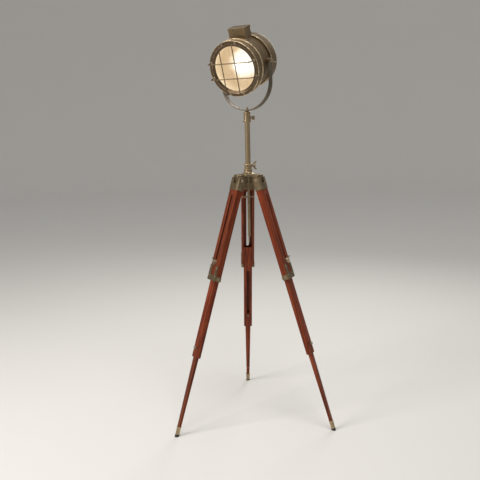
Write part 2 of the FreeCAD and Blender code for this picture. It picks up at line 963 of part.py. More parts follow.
def cable_gland():
    start = rear_side_end + rear_round
    hex_end = gland_pad_end + gland_hex_l
    tip = hex_end + gland_nose_l
    stem = bar(gland_stem_r, at(0, start), at(0, gland_pad_end))
    corners = []
    for k in range(6):
        a = math.pi * k / 3
        corners.append(V(gland_hex_r * math.cos(a), gland_pad_end - pivot_station, gland_hex_r * math.sin(a)))
    body = outline(corners[0], corners[1:]).extrude(V(0, gland_hex_l, 0))
    nose = bar(gland_nose_r, at(0, hex_end), at(0, tip))
    gland = stem.fuse(body).fuse(nose)
    gland = gland.cut(bar(gland_bore_r, at(0, start - 1), at(0, tip + 1)))
    gland.translate(V(0, 0, -gland_drop))
    return gland


def trunnion_bosses():
    face = yoke_half_w - yoke_t - open_gap
    tip = yoke_half_w + open_gap + nut_h + bolt_spare
    drum = bar(drum_r, at(0, 0), at(0, rear_depth))
    bosses = []
    for side in (-1, 1):
        boss = bar(trunnion_r, V(side * drum_r / 2, 0, 0), V(side * face, 0, 0)).cut(drum)
        boss = boss.fuse(bar(trunnion_stud_r, V(side * (face - drum_t), 0, 0), V(side * tip, 0, 0)))
        bosses.append(boss)
    return Part.makeCompound(bosses)


def chimney_prism(grow, z0, z1, corner):
    # Upright block over the chimney's footprint, grown outwards on all sides.
    y0 = chimney_front - pivot_station - grow
    y1 = y0 + chimney_l + 2 * grow
    centre = (y0 + y1) / 2
    prism = section_prism(0, 2 * (chimney_half_w + grow), y1 - y0, corner, z0, z1)
    prism.translate(V(0, centre, 0))
    return prism


def chimney_box():
    top = chimney_top - lid_t
    drum = bar(drum_r, at(0, 0), at(0, rear_depth))
    walls = chimney_prism(0, 0, top, chimney_corner)
    walls = walls.cut(chimney_prism(-chimney_wall, -1, top + 1, chimney_corner - chimney_wall))
    foot = chimney_prism(chimney_foot_w, 0, drum_r * 2, chimney_corner + chimney_foot_w)
    foot = foot.common(bar(drum_r + chimney_foot_t, at(0, 0), at(0, rear_depth)))
    foot = foot.cut(chimney_prism(-chimney_wall, -1, 3 * drum_r, chimney_corner - chimney_wall))
    return walls.fuse(foot).cut(drum)


def chimney_lid():
    rim_low = chimney_top - lid_h
    lid = chimney_prism(lid_over, rim_low, chimney_top, chimney_corner + lid_over)
    return lid.cut(chimney_prism(0, rim_low - 1, chimney_top - lid_t, chimney_corner))


def guard_wire(offset, half_run, plane):
    # One wire across the lamp's front at x = offset, both ends bent back to the feet.
    front = plane - pivot_station
    b = guard_bend_r
    half = [V(offset, -pivot_station - guard_foot_h, half_run)]
    for k in range(guard_bend_steps + 1):
        a = math.pi / 2 * k / guard_bend_steps
        half.append(V(offset, front + b * (1 - math.sin(a)), half_run - b * (1 - math.cos(a))))
    other = [V(p.x, p.y, -p.z) for p in reversed(half)]
    spine = Part.makePolygon(half + other)
    ring = Part.Wire([Part.makeCircle(guard_wire_r, half[0], EY)])
    return spine.makePipeShell([ring], True, False, 1)


def guard_runs():
    # (offset, half length, across?) of the four wires.
    runs = []
    for side in (-1, 1):
        upright = side * guard_offset - guard_shift
        runs.append((upright, math.sqrt(guard_end_r ** 2 - upright ** 2), False))
        level = side * guard_offset
        runs.append((level, math.sqrt(guard_end_r ** 2 - level ** 2), True))
    return runs


def guard_wires():
    step = guard_wire_r + guard_weld
    wires = []
    for offset, half_run, across in guard_runs():
        plane = -guard_rise + (-step if across else step)
        wire = guard_wire(offset, half_run, plane)
        wires.append(moved(wire, turn(EY, 90)) if across else wire)
    return Part.makeCompound(wires)


def guard_clips():
    # Round feet on the lamp's face, one under each wire end.
    clips = []
    for offset, half_run, across in guard_runs():
        for side in (-1, 1):
            start = V(offset, -pivot_station - guard_foot_h, side * half_run)
            clip = bar(guard_foot_r, start, V(offset, -pivot_station, side * half_run))
            clips.append(moved(clip, turn(EY, 90)) if across else clip)
    return Part.makeCompound(clips)


# ---------------------------------------------------------------- the whole lamp

save("hub_casting", hub_casting())
save("hub_collar", hub_collar())
save("hinge_pins", hinge_pins())
save("hub_clamp_screw", hub_clamp_screw())
save("column_tube", column_tube())
save("column_collar", column_collar())
save("column_clamp_screw", column_clamp_screw())
save("mast_rod", mast_rod())
save("mast_head", mast_head())
save("yoke_nut", yoke_nut())
save("yoke_strap", moved(yoke_strap(), yoke_place()))

head_pieces = {
    "drum_shell": drum_shell(),
    "front_bezel": front_bezel(),
    "lens_glass": lens_glass(),
    "lens_retainer": lens_retainer(),
    "reflector": reflector(),
    "lamp_holder": lamp_holder(),
    "bulb": bulb(),
    "rear_cover": rear_cover(),
    "cable_gland": cable_gland(),
    "trunnion_bosses": trunnion_bosses(),
    "chimney_box": chimney_box(),
    "chimney_lid": chimney_lid(),
    "guard_wires": guard_wires(),
    "guard_clips": guard_clips(),
    "tilt_wing_nut_left": tilt_nut(-1),
    "tilt_wing_nut_right": tilt_nut(1),
}
for name, shape in head_pieces.items():
    save(name, moved(shape, head_place()))

leg_turns = {
    "rear": (rear_azimuth, rear_nut_turn),
    "left": (rear_azimuth + leg_spacing, left_nut_turn),
    "right": (rear_azimuth + 2 * leg_spacing, right_nut_turn),
}
for leg, (azimuth, nut_turn) in leg_turns.items():
    place = leg_place(azimuth)
    save(leg + "_cap", moved(leg_cap(), place))
    save(leg + "_upper_section", moved(upper_section(), place))
    save(leg + "_bracket", moved(guide_bracket(), place))
    save(leg + "_clamp_bolt", moved(clamp_bolt(), place))
    save(leg + "_wing_nut", moved(leg_wing_nut(nut_turn), place))
    save(leg + "_middle_section", moved(middle_section(), place))
    save(leg + "_clamp_knob", moved(clamp_knob(), place))
    save(leg + "_lower_section", moved(lower_section(), place))
    save(leg + "_ferrule", moved(ferrule(), place))
    save(leg + "_pad", moved(foot_pad(), place).cut(floor_block()))
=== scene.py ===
# %% [markdown]
# # A tripod spotlight lamp, dressed for its portrait
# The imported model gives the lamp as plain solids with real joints. This lesson keeps
# every solid where it is and gives each one the finish of the real thing: aged brass,
# oiled hardwood, rubber feet and a lit lens. Each step says what the piece is on the
# real lamp, how it could be made, and why one way was chosen.

# %% Load the frame
import math

import bmesh
import bpy
from mathutils import Matrix, Vector


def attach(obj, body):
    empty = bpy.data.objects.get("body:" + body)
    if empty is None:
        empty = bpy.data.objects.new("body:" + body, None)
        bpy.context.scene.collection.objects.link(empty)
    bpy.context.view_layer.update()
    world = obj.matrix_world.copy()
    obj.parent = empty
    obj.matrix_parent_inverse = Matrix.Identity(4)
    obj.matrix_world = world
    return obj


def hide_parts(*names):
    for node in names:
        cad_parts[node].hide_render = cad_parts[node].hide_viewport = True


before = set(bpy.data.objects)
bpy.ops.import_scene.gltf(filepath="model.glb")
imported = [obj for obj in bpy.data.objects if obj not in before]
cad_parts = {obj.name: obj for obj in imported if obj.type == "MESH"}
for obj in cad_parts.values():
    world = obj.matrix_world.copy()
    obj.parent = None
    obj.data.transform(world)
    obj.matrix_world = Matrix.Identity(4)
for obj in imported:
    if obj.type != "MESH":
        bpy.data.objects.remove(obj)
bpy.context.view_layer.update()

# %% [markdown]
# ## Where things are
# The lamp is built round three frames: the column axis, the leg axes that lean out
# from their hinge pins, and the lamp axis that tilts in the yoke. Every piece below is
# drawn in its own simple frame and then placed with one of these matrices, so its
# object stays at the origin and the place is in the mesh.

# %% Frames of the column, the legs and the lamp
mm = 0.001
leg_azimuths = {"rear": 90, "left": 210, "right": 330}
leg_splay = 17.8
yoke_turn = -32.92
head_tilt = 18.5
pin_circle = 45 * mm
pivot_station = 95 * mm

# Heights up the middle of the lamp, each from the one below it.
pin_height = 1003 * mm * math.cos(math.radians(leg_splay))
plate_bottom = pin_height + 14 * mm
plate_top = plate_bottom + 9.4 * mm
column_top = plate_top + 193.5 * mm
sleeve_top = column_top + 29 * mm
mast_head_bottom = sleeve_top + 0.3 * mm
stud_base = mast_head_bottom + 13.6 * mm
strap_bottom = stud_base + 0.3 * mm
pivot_height = strap_bottom + 176 * mm


def rotated(degrees, axis):
    return Matrix.Rotation(math.radians(degrees), 4, axis)


def raised(height):
    return Matrix.Translation((0, 0, height))


def leg_place(leg):
    # Local X points out of the leg, Y across it and Z up along it, from the hinge pin.
    lean = Matrix.Translation((pin_circle, 0, pin_height)) @ rotated(-leg_splay, "Y")
    return rotated(leg_azimuths[leg], "Z") @ lean


yoke_place = rotated(yoke_turn, "Z") @ raised(pivot_height)
head_place = yoke_place @ rotated(head_tilt, "X")
# Local Z runs backwards along the lamp axis from the front lip.
lamp_place = head_place @ Matrix.Translation((0, -pivot_station, 0)) @ rotated(-90, "X")
# Local Z points out sideways along +X.
sideways = rotated(90, "Y")
print("pivot height", round(pivot_height, 4))

# %% [markdown]
# ## The camera
# The photograph was taken from in front, with the lens about level with the column's
# top and looking a little down. A camera is only a place, three directions and a focal
# length, so it is written as such: yaw, pan, pitch and roll were found by matching
# feet, hub and lamp, and the focal length follows from how large the lamp is in the
# picture.

# %% Camera
camera_spot = (-0.1363, -2.4518, 1.166)
camera_yaw = 0.05555
camera_pan = -0.0151
camera_pitch = 0.179
camera_roll = -0.02188


def new_object(name, data):
    made = bpy.data.objects.new(name, data)
    bpy.context.scene.collection.objects.link(made)
    return made


right_flat = Vector((math.cos(camera_pan), -math.sin(camera_pan), 0))
ahead_flat = Vector((math.sin(camera_pan), math.cos(camera_pan), 0))
ahead = math.cos(camera_pitch) * ahead_flat - math.sin(camera_pitch) * Vector((0, 0, 1))
above = math.sin(camera_pitch) * ahead_flat + math.cos(camera_pitch) * Vector((0, 0, 1))
picture_right = math.cos(camera_roll) * right_flat + math.sin(camera_roll) * above
picture_up = -math.sin(camera_roll) * right_flat + math.cos(camera_roll) * above
unturn = Matrix.Rotation(-camera_yaw, 3, "Z")
axes = [unturn @ direction for direction in (picture_right, picture_up, -ahead)]

camera_data = bpy.data.cameras.new("lamp_camera")
camera_data.sensor_width = 36
camera_data.lens = 48
camera_data.clip_start = 0.05
camera_data.clip_end = 50
camera = new_object("lamp_camera", camera_data)
camera.matrix_world = Matrix.Translation(camera_spot) @ Matrix(axes).transposed().to_4x4()
bpy.context.scene.camera = camera
print("camera at", [round(c, 3) for c in camera.location])

# %% [markdown]
# ## Helpers for node trees
# A material is a small machine of nodes. Naming the recurring moves keeps each recipe
# short enough to read: make a node, fill its sockets, and take its output to the next
# one. The same two moves serve Geometry Nodes further down.

# %% Node helpers
def fill(tree, target, sockets):
    # Joins each socket to another node's output, or writes a constant on it. A colour
    # is given as three numbers and gets its alpha here.
    for label, value in sockets.items():
        socket = target.inputs[label]
        if isinstance(value, bpy.types.NodeSocket):
            tree.links.new(value, socket)
        elif socket.type == "RGBA":
            socket.default_value = (*value, 1)
        else:
            socket.default_value = value
    return target


def add_node(tree, kind, sockets=None, **settings):
    # The settings come first, because some of them change what the sockets are.
    made = tree.nodes.new(kind)
    for label, value in settings.items():
        setattr(made, label, value)
    return fill(tree, made, sockets or {})


def noise(tree, vector, scale, detail=4.0, roughness=0.5, distortion=0.0):
    sockets = {"Vector": vector, "Scale": scale, "Detail": detail, "Roughness": roughness}
    sockets["Distortion"] = distortion
    return add_node(tree, "ShaderNodeTexNoise", sockets).outputs["Fac"]


def between(tree, value, low, high, to_low=0.0, to_high=1.0):
    # Stretches a value from low..high to a new range, cut off at its ends.
    sockets = {"Value": value, "From Min": low, "From Max": high, "To Min": to_low, "To Max": to_high}
    return add_node(tree, "ShaderNodeMapRange", sockets).outputs["Result"]


def maths(tree, operation, *values):
    return add_node(tree, "ShaderNodeMath", dict(enumerate(values)), operation=operation).outputs[0]


def mixed(tree, factor, first, second):
    # The colour version of the Mix node has its factor and colours on sockets 0, 6 and 7.
    return add_node(tree, "ShaderNodeMix", {0: factor, 6: first, 7: second}, data_type="RGBA").outputs[2]


def colour_steps(tree, value, steps):
    # A colour ramp from (place, colour) pairs.
    node = add_node(tree, "ShaderNodeValToRGB", {"Fac": value})
    ramp = node.color_ramp
    while len(ramp.elements) < len(steps):
        ramp.elements.new(0.5)
    for element, (place, colour) in zip(ramp.elements, steps):
        element.position = place
        element.color = (*colour, 1)
    return node.outputs["Color"]


print("node helpers ready")


# %% A helper for node groups
def new_tree(name, kind, inputs, outputs):
    # A node group with named sockets: inputs as (name, kind, start value), outputs as
    # (name, kind).
    tree = bpy.data.node_groups.new(name, kind)
    for label, socket_kind, start in inputs:
        socket = tree.interface.new_socket(label, in_out="INPUT", socket_type=socket_kind)
        if start is not None:
            socket.default_value = start
    for label, socket_kind in outputs:
        tree.interface.new_socket(label, in_out="OUTPUT", socket_type=socket_kind)
    return tree, tree.nodes.new("NodeGroupInput").outputs, tree.nodes.new("NodeGroupOutput")


print("groups and recipes can be built")

# %% [markdown]
# ## Two effects that many finishes share
# **Tarnish** is what brass does in the air: broad cloudy darkening, finer speckle in
# it, and a surface that is a little rougher where it is dull. One group makes it, and
# each brass sets its own scale and strength.
#
# **Edge wear** is the bright line where hands and boxes have rubbed the patina off.
# A shader can't find edges by itself on clean geometry, so the meshes below mark their
# small bevels with an attribute called edge, and this group breaks that line up with
# noise so that it never looks drawn.

# %% Shader groups: tarnish and edge wear
FLOAT, WHOLE, VECTOR = "NodeSocketFloat", "NodeSocketInt", "NodeSocketVector"
COLOUR, SHAPE, FINISH = "NodeSocketColor", "NodeSocketGeometry", "NodeSocketMaterial"

tarnish, given, result = new_tree(
    "tarnish",
    "ShaderNodeTree",
    [
        ("Vector", VECTOR, None), ("Cloud Scale", FLOAT, 14.0), ("Speck Scale", FLOAT, 260.0),
        ("Strength", FLOAT, 0.6),
    ],
    [("Dark", FLOAT), ("Roughness", FLOAT), ("Height", FLOAT)],
)
clouds = noise(tarnish, given["Vector"], given["Cloud Scale"], 6.0, 0.62, 0.4)
specks = noise(tarnish, given["Vector"], given["Speck Scale"], 3.0, 0.7)
speck_mask = between(tarnish, specks, 0.48, 0.72)
both = maths(tarnish, "MULTIPLY_ADD", speck_mask, 0.35, between(tarnish, clouds, 0.38, 0.66))
fill(tarnish, result, {
    "Dark": maths(tarnish, "MULTIPLY", both, given["Strength"]),
    "Roughness": between(tarnish, both, 0.0, 1.2, -0.06, 0.16),
    "Height": maths(tarnish, "ADD", specks, clouds),
})

edge_wear, given, result = new_tree(
    "edge_wear",
    "ShaderNodeTree",
    [("Vector", VECTOR, None), ("Edge", FLOAT, 0.0), ("Break Scale", FLOAT, 90.0), ("Strength", FLOAT, 0.7)],
    [("Mask", FLOAT)],
)
breaks = noise(edge_wear, given["Vector"], given["Break Scale"], 4.0, 0.6)
rubbed = maths(edge_wear, "MULTIPLY", given["Edge"], between(edge_wear, breaks, 0.36, 0.62))
fill(edge_wear, result, {"Mask": maths(edge_wear, "MULTIPLY", rubbed, given["Strength"])})
print("groups:", tarnish.name, edge_wear.name)

# %% [markdown]
# ## Brass, six ways
# The lamp's brass is chemically darkened and then rubbed back, so it is a metal with
# a brown skin over it. One recipe serves all: the bright metal's colour, the skin's
# colour, what shows on worn edges, how rough it is and how much skin is left. Cast
# pieces get a grainy bump, and turned pieces stay nearly smooth. The lamp head is a
# deeper brown, and so are the guard's wires. The face of the front ring is darker
# still: painted shade, because that face turns down and away from the light.

# %% Material helpers
finishes = {}


def material(name):
    # A new finish: gives its tree, its shader and the piece's own coordinates.
    made = bpy.data.materials.new(name)
    made.use_nodes = True
    tree = made.node_tree
    tree.nodes.clear()
    shader = add_node(tree, "ShaderNodeBsdfPrincipled")
    add_node(tree, "ShaderNodeOutputMaterial", {"Surface": shader.outputs[0]})
    finishes[name] = made
    return tree, shader, add_node(tree, "ShaderNodeTexCoord").outputs["Object"]


def grouped(tree, group, sockets):
    return add_node(tree, "ShaderNodeGroup", sockets, node_tree=group).outputs


def marked(tree, name, output):
    # What the mesh says under this name: one number (Fac) or a place (Vector).
    return add_node(tree, "ShaderNodeAttribute", attribute_name=name).outputs[output]


def bumped(tree, height, strength, distance):
    sockets = {"Height": height, "Strength": strength, "Distance": distance}
    return add_node(tree, "ShaderNodeBump", sockets).outputs[0]


print("material helpers ready")


# %% The brass recipe
def along_lamp(tree, place):
    # The place on the lamp as (x, y, station) in metres, from a plain Mapping node.
    sockets = {"Vector": place, "Location": lamp_place.to_translation(), "Rotation": lamp_place.to_euler()}
    return add_node(tree, "ShaderNodeMapping", sockets, vector_type="TEXTURE").outputs[0]


def station_of(tree, lamp_space):
    return add_node(tree, "ShaderNodeSeparateXYZ", {"Vector": lamp_space}).outputs["Z"]


def brass(name, bright, skin, worn, roughness, strength, cloud, grain=0.12, rub=0.7, face=None):
    # A face colour, if given, takes over on the front of the lamp's ring. It is painted shade: that face
    # turns down and away from the light.
    tree, shader, place = material(name)
    age = grouped(tree, tarnish, {"Vector": place, "Cloud Scale": cloud, "Strength": strength})
    wear = grouped(tree, edge_wear, {"Vector": place, "Edge": marked(tree, "edge", "Fac"), "Strength": rub})
    colour = mixed(tree, age["Dark"], bright, skin)
    if face:
        # The painted shade is strongest on the ring's front and fades out 4 to 10 mm behind it.
        painted_shade_on_face = between(tree, station_of(tree, along_lamp(tree, place)), 0.004, 0.01, 0.8, 0.0)
        colour = mixed(tree, painted_shade_on_face, colour, face)
    fill(tree, shader, {
        "Base Color": mixed(tree, wear["Mask"], colour, worn),
        "Roughness": maths(tree, "ADD", age["Roughness"], roughness),
        "Metallic": 0.9,
        "Normal": bumped(tree, age["Height"], grain, 0.0004),
    })


print("the ring's face ends 4 to 10 mm behind its front")

# %% The six brasses
brass(
    "cast_brass", bright=(0.255, 0.19, 0.115), skin=(0.11, 0.078, 0.045), worn=(0.66, 0.53, 0.34),
    roughness=0.42, strength=0.7, cloud=22.0, grain=0.35, rub=1.0,
)
brass(
    "turned_brass", bright=(0.46, 0.35, 0.215), skin=(0.19, 0.135, 0.078), worn=(0.7, 0.57, 0.37),
    roughness=0.34, strength=0.55, cloud=18.0,
)
brass(
    "fastener_brass", bright=(0.46, 0.375, 0.26), skin=(0.2, 0.15, 0.095), worn=(0.68, 0.58, 0.42),
    roughness=0.38, strength=0.5, cloud=40.0,
)
brass(
    "strap_brass", bright=(0.215, 0.18, 0.132), skin=(0.11, 0.09, 0.065), worn=(0.38, 0.32, 0.235),
    roughness=0.56, strength=0.55, cloud=16.0,
)
# The head's face colour is painted shade on the front of its ring.
brass(
    "head_brass", bright=(0.25, 0.178, 0.1), skin=(0.115, 0.076, 0.043), worn=(0.78, 0.63, 0.42),
    roughness=0.4, strength=0.5, cloud=9.0, rub=1.3, face=(0.1, 0.066, 0.042),
)
brass(
    "guard_wire", bright=(0.18, 0.128, 0.074), skin=(0.08, 0.054, 0.031), worn=(0.5, 0.4, 0.26),
    roughness=0.36, strength=0.5, cloud=30.0, grain=0.1,
)
print("brass finishes:", sorted(finishes))

# %% [markdown]
# ## Wood
# The legs are a dense red-brown hardwood under a thin oil varnish. Its grain runs the
# length of each leg, so the pattern must lie in the leg's own frame, not the room's.
# The wood meshes therefore carry a vector attribute called grain: the point's place
# in the leg, plus an offset so that no two sections come from the same plank. Long
# stretched noise gives the dark streaks, finer noise the pores, and a slow one the
# change from red to brown between planks.

# %% Wood grain group
wood_grain, given, result = new_tree(
    "wood_grain",
    "ShaderNodeTree",
    [("Vector", VECTOR, None), ("Edge", FLOAT, 0.0)],
    [("Color", COLOUR), ("Roughness", FLOAT), ("Height", FLOAT)],
)


def stretched(vector, factors, detail, roughness):
    # Noise that is squeezed by a factor on each axis, so that it runs along the leg.
    space = add_node(wood_grain, "ShaderNodeVectorMath", {0: vector, 1: factors}, operation="MULTIPLY")
    return noise(wood_grain, space.outputs[0], 1.0, detail, roughness)


# A slow wander across the leg bends the streaks, as growth does in a real plank.
wander = stretched(given["Vector"], (9.0, 9.0, 2.2), 3.0, 0.5)
drift = add_node(wood_grain, "ShaderNodeCombineXYZ", {"X": wander, "Y": wander}).outputs[0]
bend_sockets = {0: drift, 1: (0.05, 0.05, 0.0), 2: given["Vector"]}
bent = add_node(wood_grain, "ShaderNodeVectorMath", bend_sockets, operation="MULTIPLY_ADD").outputs[0]
streaks = stretched(bent, (210.0, 150.0, 5.5), 5.0, 0.58)
fibres = stretched(bent, (1500.0, 1200.0, 34.0), 2.0, 0.6)
plank = stretched(given["Vector"], (14.0, 14.0, 1.4), 1.0, 0.4)

colour = colour_steps(wood_grain, streaks, [
    (0.30, (0.040, 0.0075, 0.003)),
    (0.44, (0.135, 0.022, 0.007)),
    (0.56, (0.240, 0.041, 0.011)),
    (0.72, (0.340, 0.072, 0.018)),
])
colour = mixed(wood_grain, between(wood_grain, plank, 0.4, 0.65, 0.0, 0.5), colour, (0.095, 0.024, 0.010))
pores = between(wood_grain, fibres, 0.56, 0.7, 0.0, 0.6)
colour = mixed(wood_grain, pores, colour, (0.022, 0.008, 0.005))
rubbed = maths(wood_grain, "MULTIPLY", given["Edge"], between(wood_grain, wander, 0.42, 0.6, 0.1, 0.6))
fill(wood_grain, result, {
    "Color": mixed(wood_grain, rubbed, colour, (0.34, 0.14, 0.06)),
    "Roughness": between(wood_grain, streaks, 0.3, 0.7, 0.5, 0.36),
    "Height": maths(wood_grain, "SUBTRACT", streaks, pores),
})
print("groups now:", [group.name for group in bpy.data.node_groups])

# %% Wood material
tree, shader, place = material("wood")
grain_sockets = {"Vector": marked(tree, "grain", "Vector"), "Edge": marked(tree, "edge", "Fac")}
grain = grouped(tree, wood_grain, grain_sockets)
fill(tree, shader, {
    "Base Color": grain["Color"],
    "Roughness": grain["Roughness"],
    "Specular IOR Level": 0.18,
    "Coat Weight": 0.02,
    "Coat Roughness": 0.25,
    "Normal": bumped(tree, grain["Height"], 0.22, 0.0003),
})
print("wood ready")

# %% [markdown]
# ## Rubber and moulded black
# The pads under the feet are dull black rubber, and the bulb's holder is a moulded
# black that shines a little. Neither is one flat colour on a real lamp, so a fine noise
# changes the colour and the roughness together.

# %% Pad rubber and holder black
tree, shader, place = material("pad_rubber")
specks = noise(tree, place, 700.0, 3.0, 0.6)
fill(tree, shader, {
    "Base Color": mixed(tree, between(tree, specks, 0.4, 0.7), (0.018, 0.017, 0.016), (0.045, 0.042, 0.038)),
    "Roughness": between(tree, specks, 0.3, 0.7, 0.62, 0.8),
    "Normal": bumped(tree, specks, 0.2, 0.0003),
})

tree, shader, place = material("holder_black")
mottle = noise(tree, place, 120.0, 4.0, 0.55)
fill(tree, shader, {
    "Base Color": mixed(tree, mottle, (0.02, 0.015, 0.012), (0.05, 0.036, 0.028)),
    "Roughness": between(tree, mottle, 0.3, 0.7, 0.3, 0.45),
})
print("finishes:", len(finishes))

# %% [markdown]
# ## Reflector, bulb and glass
# The lamp is on. Light that really bounced in the bowl would be noisy, so the bowl and
# the bulb glow by their own emission: the bowl warm, palest at its rim and close round
# the bulb, and the bulb almost white. Because both are real surfaces behind clear
# glass, they shift behind each other correctly from every side.

# %% Lit finishes and glass
tree, shader, place = material("reflector_metal")
lamp_space = along_lamp(tree, place)
ripple = noise(tree, lamp_space, 30.0, 3.0, 0.5)
depth = between(tree, station_of(tree, lamp_space), 0.013, 0.093)
depth = maths(tree, "ADD", depth, between(tree, ripple, 0.3, 0.7, -0.05, 0.05))
fill(tree, shader, {
    "Base Color": mixed(tree, ripple, (0.10, 0.085, 0.06), (0.14, 0.12, 0.09)),
    "Roughness": between(tree, ripple, 0.3, 0.7, 0.3, 0.42),
    "Emission Strength": 1.0,
    "Emission Color": colour_steps(tree, depth, [
        (0.02, (0.95, 0.80, 0.53)),
        (0.14, (0.72, 0.54, 0.32)),
        (0.4, (0.56, 0.385, 0.205)),
        (0.62, (0.62, 0.43, 0.24)),
        (0.72, (0.86, 0.72, 0.5)),
        (0.8, (1.0, 0.97, 0.9)),
    ]),
})

tree, shader, place = material("bulb_glass")
haze = noise(tree, place, 60.0, 2.0, 0.5)
fill(tree, shader, {
    "Base Color": mixed(tree, haze, (0.95, 0.93, 0.88), (1.0, 0.98, 0.95)),
    "Roughness": between(tree, haze, 0.3, 0.7, 0.25, 0.35),
    "Emission Strength": 1.25,
    "Emission Color": mixed(tree, haze, (1.0, 0.96, 0.86), (1.0, 0.99, 0.96)),
})

tree, shader, place = material("clear_glass")
smears = noise(tree, place, 24.0, 4.0, 0.6)
fill(tree, shader, {
    "Base Color": mixed(tree, smears, (1.0, 0.985, 0.95), (0.96, 0.94, 0.9)),
    "Roughness": between(tree, smears, 0.45, 0.75, 0.02, 0.09),
    "Transmission Weight": 1.0,
    "IOR": 1.45,
})
print("finishes:", len(finishes))

# %% [markdown]
# ## Three ways to make a metal piece
# A **turned** piece is drawn as half a section and spun, which is what a lathe does.
# A corner may carry a rounding, and those roundings are marked as edges for the wear.
# A **dressed** piece is a copy of a solid of the model: its loose triangles merged, its
# flat faces joined, its sharp edges given a small bevel, its round faces smooth. A piece
# that repeats or follows a path comes from Geometry Nodes further down.

# %% Profiles
def straight(points):
    # A profile with no roundings, from (radius, height) in millimetres.
    return [(r * mm, h * mm, 0.0) for r, h in points]


def arc(centre, radius, first, last, steps):
    # Points (radius, height) on a circle, from a first to a last angle in degrees.
    points = []
    for k in range(steps + 1):
        a = math.radians(first + (last - first) * k / steps)
        points.append((centre[0] + radius * math.cos(a), centre[1] + radius * math.sin(a)))
    return points


def eased(points, steps=5):
    # Rounds the corners of a closed profile of (radius, height, rounding), in millimetres.
    # Gives (radius, height, number of the rounding it is on) in metres.
    out = []
    count = len(points)
    for i, (r, h, ease) in enumerate(points):
        if not ease:
            out.append((r * mm, h * mm, 0.0))
            continue
        here = Vector((r, h))
        before = Vector(points[i - 1][:2]) - here
        after = Vector(points[(i + 1) % count][:2]) - here
        half_angle = before.angle(after) / 2
        back = min(ease / math.tan(half_angle), 0.49 * before.length, 0.49 * after.length)
        start = here + before.normalized() * back
        end = here + after.normalized() * back
        for k in range(steps + 1):
            t = k / steps
            spot = (1 - t) ** 2 * start + 2 * t * (1 - t) * here + t * t * end
            out.append((spot.x * mm, spot.y * mm, i + 1))
    return out


print("one eased corner has", len(eased([(0, 0, 0), (4, 0, 1), (4, 4, 0)])) - 2, "points")

# %% The lathe and the bevel
on_axis = 1e-7


def edge_marks(bm):
    # The face layer that tells the finishes where an edge is.
    return bm.faces.layers.float.get("edge") or bm.faces.layers.float.new("edge")


def spin_into(bm, profile, place, segments):
    # Spins a closed profile round local Z and adds it to a mesh in work.
    marks = edge_marks(bm)
    rings = []
    for r, h, rounding in profile:
        ring = []
        for k in range(1 if r < on_axis else segments):
            a = 2 * math.pi * k / segments
            ring.append(bm.verts.new(place @ Vector((r * math.cos(a), r * math.sin(a), h))))
        rings.append(ring)
    made = []
    for i, ring in enumerate(rings):
        following = (i + 1) % len(rings)
        other = rings[following]
        worn = float(0 < profile[i][2] == profile[following][2])
        for k in range(segments):
            j = (k + 1) % segments
            corners = []
            for row, step in ((ring, k), (ring, j), (other, j), (other, k)):
                vert = row[step % len(row)]
                if vert not in corners:
                    corners.append(vert)
            if len(corners) > 2:
                face = bm.faces.new(corners)
                face[marks] = worn
                made.append(face)
    bmesh.ops.recalc_face_normals(bm, faces=made)


def bevelled(bm, edges, width, segments, mark=1.0, **settings):
    # Bevels some edges by a width in millimetres and marks the new faces as worn.
    marks = edge_marks(bm)
    worked = bmesh.ops.bevel(
        bm, geom=edges, offset=width * mm, segments=segments, affect="EDGES", **settings
    )
    for face in worked["faces"]:
        face[marks] = mark
    return worked["faces"]


print("lathe and bevel ready")

# %% [markdown]
# ## From a mesh to a piece
# Every piece ends the same way. Its shading is smooth but breaks at sharp corners, it
# gets its finish, and it rides on the body that it moves with. A piece that stands for
# a solid of the model takes that solid's place.

# %% From a mesh to a piece
def face_angle(edge):
    return edge.calc_face_angle(0.0) if len(edge.link_faces) == 2 else 0.0


def as_piece(name, mesh, body, stands_for):
    piece = new_object(name, mesh)
    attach(piece, body)
    if stands_for:
        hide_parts(stands_for)


def piece_from(bm, name, finish, body, stands_for=None, sharp=28, crisp=False):
    # Turns a mesh in work into a piece. A crisp one also has its shading broken along
    # both sides of every bevel.
    marks = edge_marks(bm)
    for edge in bm.edges:
        sides = [face[marks] for face in edge.link_faces]
        rim = crisp and len(sides) == 2 and sides[0] != sides[1]
        edge.smooth = not rim and face_angle(edge) < math.radians(sharp)
    for face in bm.faces:
        face.smooth = True
    mesh = bpy.data.meshes.new(name)
    bm.to_mesh(mesh)
    bm.free()
    mesh.materials.append(finishes[finish])
    as_piece(name, mesh, body, stands_for)


print("finishes to choose from:", sorted(finishes))


# %% Turned pieces and dressed pieces
def turned_piece(name, spins, finish, body, stands_for=None, segments=96):
    # spins is a list of (profile, place): everything that one turned piece is made of.
    bm = bmesh.new()
    for profile, place in spins:
        spin_into(bm, profile, place, segments)
    piece_from(bm, name, finish, body, stands_for)


def dressed_piece(solid, finish, body, bevel=0, leg=None, plank_offset=None):
    # A merged, bevelled and smooth-shaded copy of one solid of the model.
    sharp = 25
    bm = bmesh.new()
    bm.from_mesh(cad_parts[solid].data)
    bmesh.ops.remove_doubles(bm, verts=bm.verts, dist=1e-6)
    if bevel:
        bmesh.ops.dissolve_limit(bm, angle_limit=math.radians(0.4), verts=bm.verts, edges=bm.edges)
        hard = [edge for edge in bm.edges if face_angle(edge) > math.radians(sharp)]
        bevelled(bm, hard, bevel, 1, clamp_overlap=True, loop_slide=True)
    if leg:
        grain_layer = bm.verts.layers.float_vector.new("grain")
        home = leg_place(leg).inverted()
        for vert in bm.verts:
            vert[grain_layer] = home @ vert.co + Vector(plank_offset)
    bmesh.ops.triangulate(bm, faces=[face for face in bm.faces if len(face.verts) > 4])
    piece_from(bm, solid + "_finished", finish, body, solid, sharp, True)


print("turned and dressed pieces can be made")

# %% [markdown]
# ## Lamp head: the turned shells
# The front ring is spun sheet: a flat face, a bevel that leads in to the glass, a
# rolled lip, a plain band and a rolled bead behind it. The rear cap is a shallow dome
# with a bead where it meets the drum. A lathe profile says all of that in one list.

